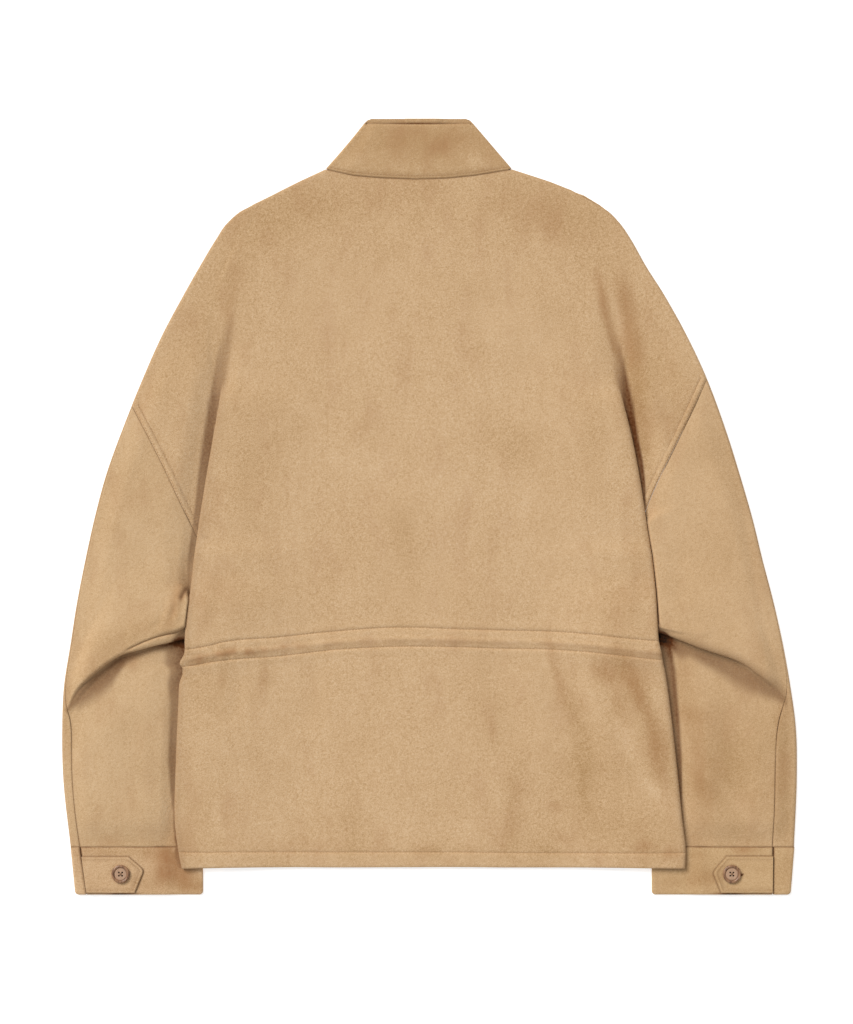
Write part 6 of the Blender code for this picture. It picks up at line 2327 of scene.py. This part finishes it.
@dataclass(frozen=True)
class PaleFloor:
    """Opal acrylic of a light table: even, matt and a little lit from below, so that shadows stay faint."""

    name: str = "opal_acrylic"
    base: str = "#e4e4e4"
    tooth: str = "#dedede"
    glow: float = 0.55

    def make(self) -> Material:
        """Build the material."""
        mat = Recipe(self.name)
        return mat.finish(Base_Color=mat.mix(mat.noise(mat.place, 0.004, 2.0, 0.5), self.tooth, self.base),
                          Roughness=0.9, Emission_Color=linear("#ffffff"), Emission_Strength=self.glow)


@dataclass
class Studio:
    """A pale table top under a soft light from the upper left, and a camera straight above."""

    height: float = 3.058        # camera above the cloth, in metres
    lens: float = 100.0          # focal length in millimetres
    sensor: float = 36.0         # height of the sensor in millimetres
    centre: tuple[float, float] = (-0.0032, -0.0059)  # where the camera looks, in metres
    cloth: float = 0.004         # height of the cloth that it is set to, in metres
    key: float = 2.5             # strength of the key light
    spread: float = 32.0         # the key light's angle across, in degrees
    fill: float = 0.52           # strength of the even fill
    floor_side: float = 20000.0  # half the table top's side in millimetres

    def light(self) -> None:
        """Add the key light, as soft as a large screen, and the even fill."""
        lamp = bpy.data.lights.new("key", "SUN")
        lamp.energy = self.key
        lamp.angle = math.radians(self.spread)
        key = bpy.data.objects.new("key", lamp)
        key.rotation_euler = Vector((0.80, -0.85, -1.1)).to_track_quat("-Z", "Y").to_euler()
        bpy.context.scene.collection.objects.link(key)
        world = bpy.data.worlds.new("studio")
        bpy.context.scene.world = world
        world.use_nodes = True
        background = world.node_tree.nodes["Background"]
        background.inputs["Color"].default_value = linear("#ffffff")
        background.inputs["Strength"].default_value = self.fill
        bpy.context.scene.view_settings.view_transform = "Standard"

    def floor(self, finish: Material) -> Piece:
        """Add the table top.

        Args:
            finish: its material.

        Returns:
            The piece.
        """
        made = bmesh.new()
        bmesh.ops.create_grid(made, x_segments=1, y_segments=1, size=self.floor_side)
        piece = mesh_piece("paper", made, Vector(), finish, smooth=False)
        return piece

    def camera(self) -> None:
        """Add the camera."""
        data = bpy.data.cameras.new("camera")
        data.sensor_fit = "VERTICAL"
        data.sensor_height = self.sensor
        data.lens = self.lens
        data.clip_end = 20.0
        camera = bpy.data.objects.new("camera", data)
        camera.location = (*self.centre, self.cloth + self.height)
        bpy.context.scene.collection.objects.link(camera)
        bpy.context.scene.camera = camera


class Jacket:
    """The whole jacket: its pieces, their sewing and their finishes."""

    def __init__(self) -> None:
        """Mix the finishes."""
        self.torso = Suede("suede_torso", "#c8a67e", "#dabd99", 0.0).make()
        self.sleeves = {"left": Suede("suede_left_sleeve", "#c8a77f", "#d9bc97", 3.1, 1.2).make(),
                        "right": Suede("suede_right_sleeve", "#c7a57d", "#d8ba94", 5.7, 1.2).make()}
        self.neck = Suede("suede_collar", "#ba976e", "#d0b18a", 8.3).make()
        self.cuffs = {"left": Suede("suede_left_cuff", "#caa780", "#dcbf98", 11.9).make(),
                      "right": Suede("suede_right_cuff", "#c19f75", "#d3b48b", 13.7).make()}
        self.horn = Horn().make()
        self.thread = Thread("cotton_thread", "#c39c70", "#94693f").make()
        self.button_thread = Thread("button_thread", "#a98462", "#6b4a31").make()

    def back(self) -> list[Piece]:
        """Build the back and its sewing.

        Returns:
            Its pieces.
        """
        back = Back()
        sheet, piece = back.make(self.torso)
        rows = Stitching("back_stitches", lambda x, y: back.height(x, y) + WALL / 2)
        for name in ("upper", "lower", "stitch"):
            x = np.linspace(-276, 280, 400)
            y = level[name](x)
            inside = (LEFT.beside(x, y) < -1.2) & (RIGHT.beside(x, y) < -1.2)
            rows.run(np.column_stack([x, y])[inside])
        sewn = [rows.make(self.thread)]
        return sheet.declare(piece, sewn + [self.armhole_seam(side) for side in SIDES])

    def armhole_seam(self, side: Side) -> Piece:
        """Build an armhole's two rows of stitches.

        Args:
            side: which armhole.

        Returns:
            The piece.
        """
        seams = Stitching(f"armhole_{side.name}_stitches",
                          lambda x, y: side.shoulder_height(x, y) + WALL / 2)
        for offset in (1.5, TOPSTITCH):
            x, y = side.armhole(np.linspace(0, 1, 120))
            slope = np.gradient(x, y)
            length = np.hypot(1, slope)
            x, y = x - side.outward * offset / length, y + side.outward * offset * slope / length
            shown = (side.beside(x, y) > 2.0) & (side.inset(x, y) > 2.4)
            seams.run(np.column_stack([x, y])[shown])
        return seams.make(self.thread)

    def fronts(self) -> list[Piece]:
        """Build the two fronts."""
        built = [Front(side).make(self.torso) for side in SIDES]
        return [made for sheet, piece in built for made in sheet.declare(piece)]

    def collar(self) -> list[Piece]:
        """Build the collar and its row of stitches.

        Returns:
            Its pieces.
        """
        collar = Collar()
        sheet, piece = collar.make(self.neck)
        rows = Stitching("collar_stitches", lambda x, y: collar.back_height(x, y) + COLLAR_WALL / 2)
        x = np.linspace(NECK[0].x + 5, NECK[-1].x - 5, 120)
        rows.run(np.column_stack([x, top_line(x) + COLLAR_SEAM + COLLAR_ROW]))
        return sheet.declare(piece, [rows.make(self.thread)])

    def sleeve(self, side: Side) -> list[Piece]:
        """Build a sleeve."""
        built = Sleeve(side).make(self.sleeves[side.name])
        return [made for sheet, piece in built for made in sheet.declare(piece)]

    def cuff(self, side: Side) -> list[Piece]:
        """Build a cuff with its tab, button and sewing.

        Args:
            side: which cuff.

        Returns:
            Its pieces.
        """
        cuff = Cuff(side)
        (cuff_sheet, band), (tab_sheet, strap) = cuff.make(self.cuffs[side.name])
        rows = Stitching(f"tab_{side.name}_stitches", lambda x, y: cuff.tab_height(x, y) + WALL / 2,
                         pitch=2.6, length=1.9, width=0.6)
        for line in cuff.tab_seams():
            rows.run(line)
        button = HornButton(cuff).make(self.horn, self.button_thread)
        return cuff_sheet.declare(band) + tab_sheet.declare(strap, [rows.make(self.thread)]) + button


def corners(box: tuple[Vector, Vector]) -> list[list[float]]:
    """Return a box's two corners as plain lists."""
    return [list(corner) for corner in box]


def main() -> None:
    """Dress the jacket, log how many points each piece has, and light and frame it."""
    logging.basicConfig(level=logging.INFO, format="%(message)s")
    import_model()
    jacket = Jacket()
    pieces = jacket.fronts()
    for side in SIDES:
        pieces += jacket.sleeve(side) + jacket.cuff(side)
    pieces += jacket.back() + jacket.collar()
    for piece in pieces:
        log.info("%s: %d points", piece.name, len(piece.data.vertices))
    studio = Studio()
    studio.light()
    studio.floor(PaleFloor().make())
    studio.camera()


if __name__ == "__main__":
    main()
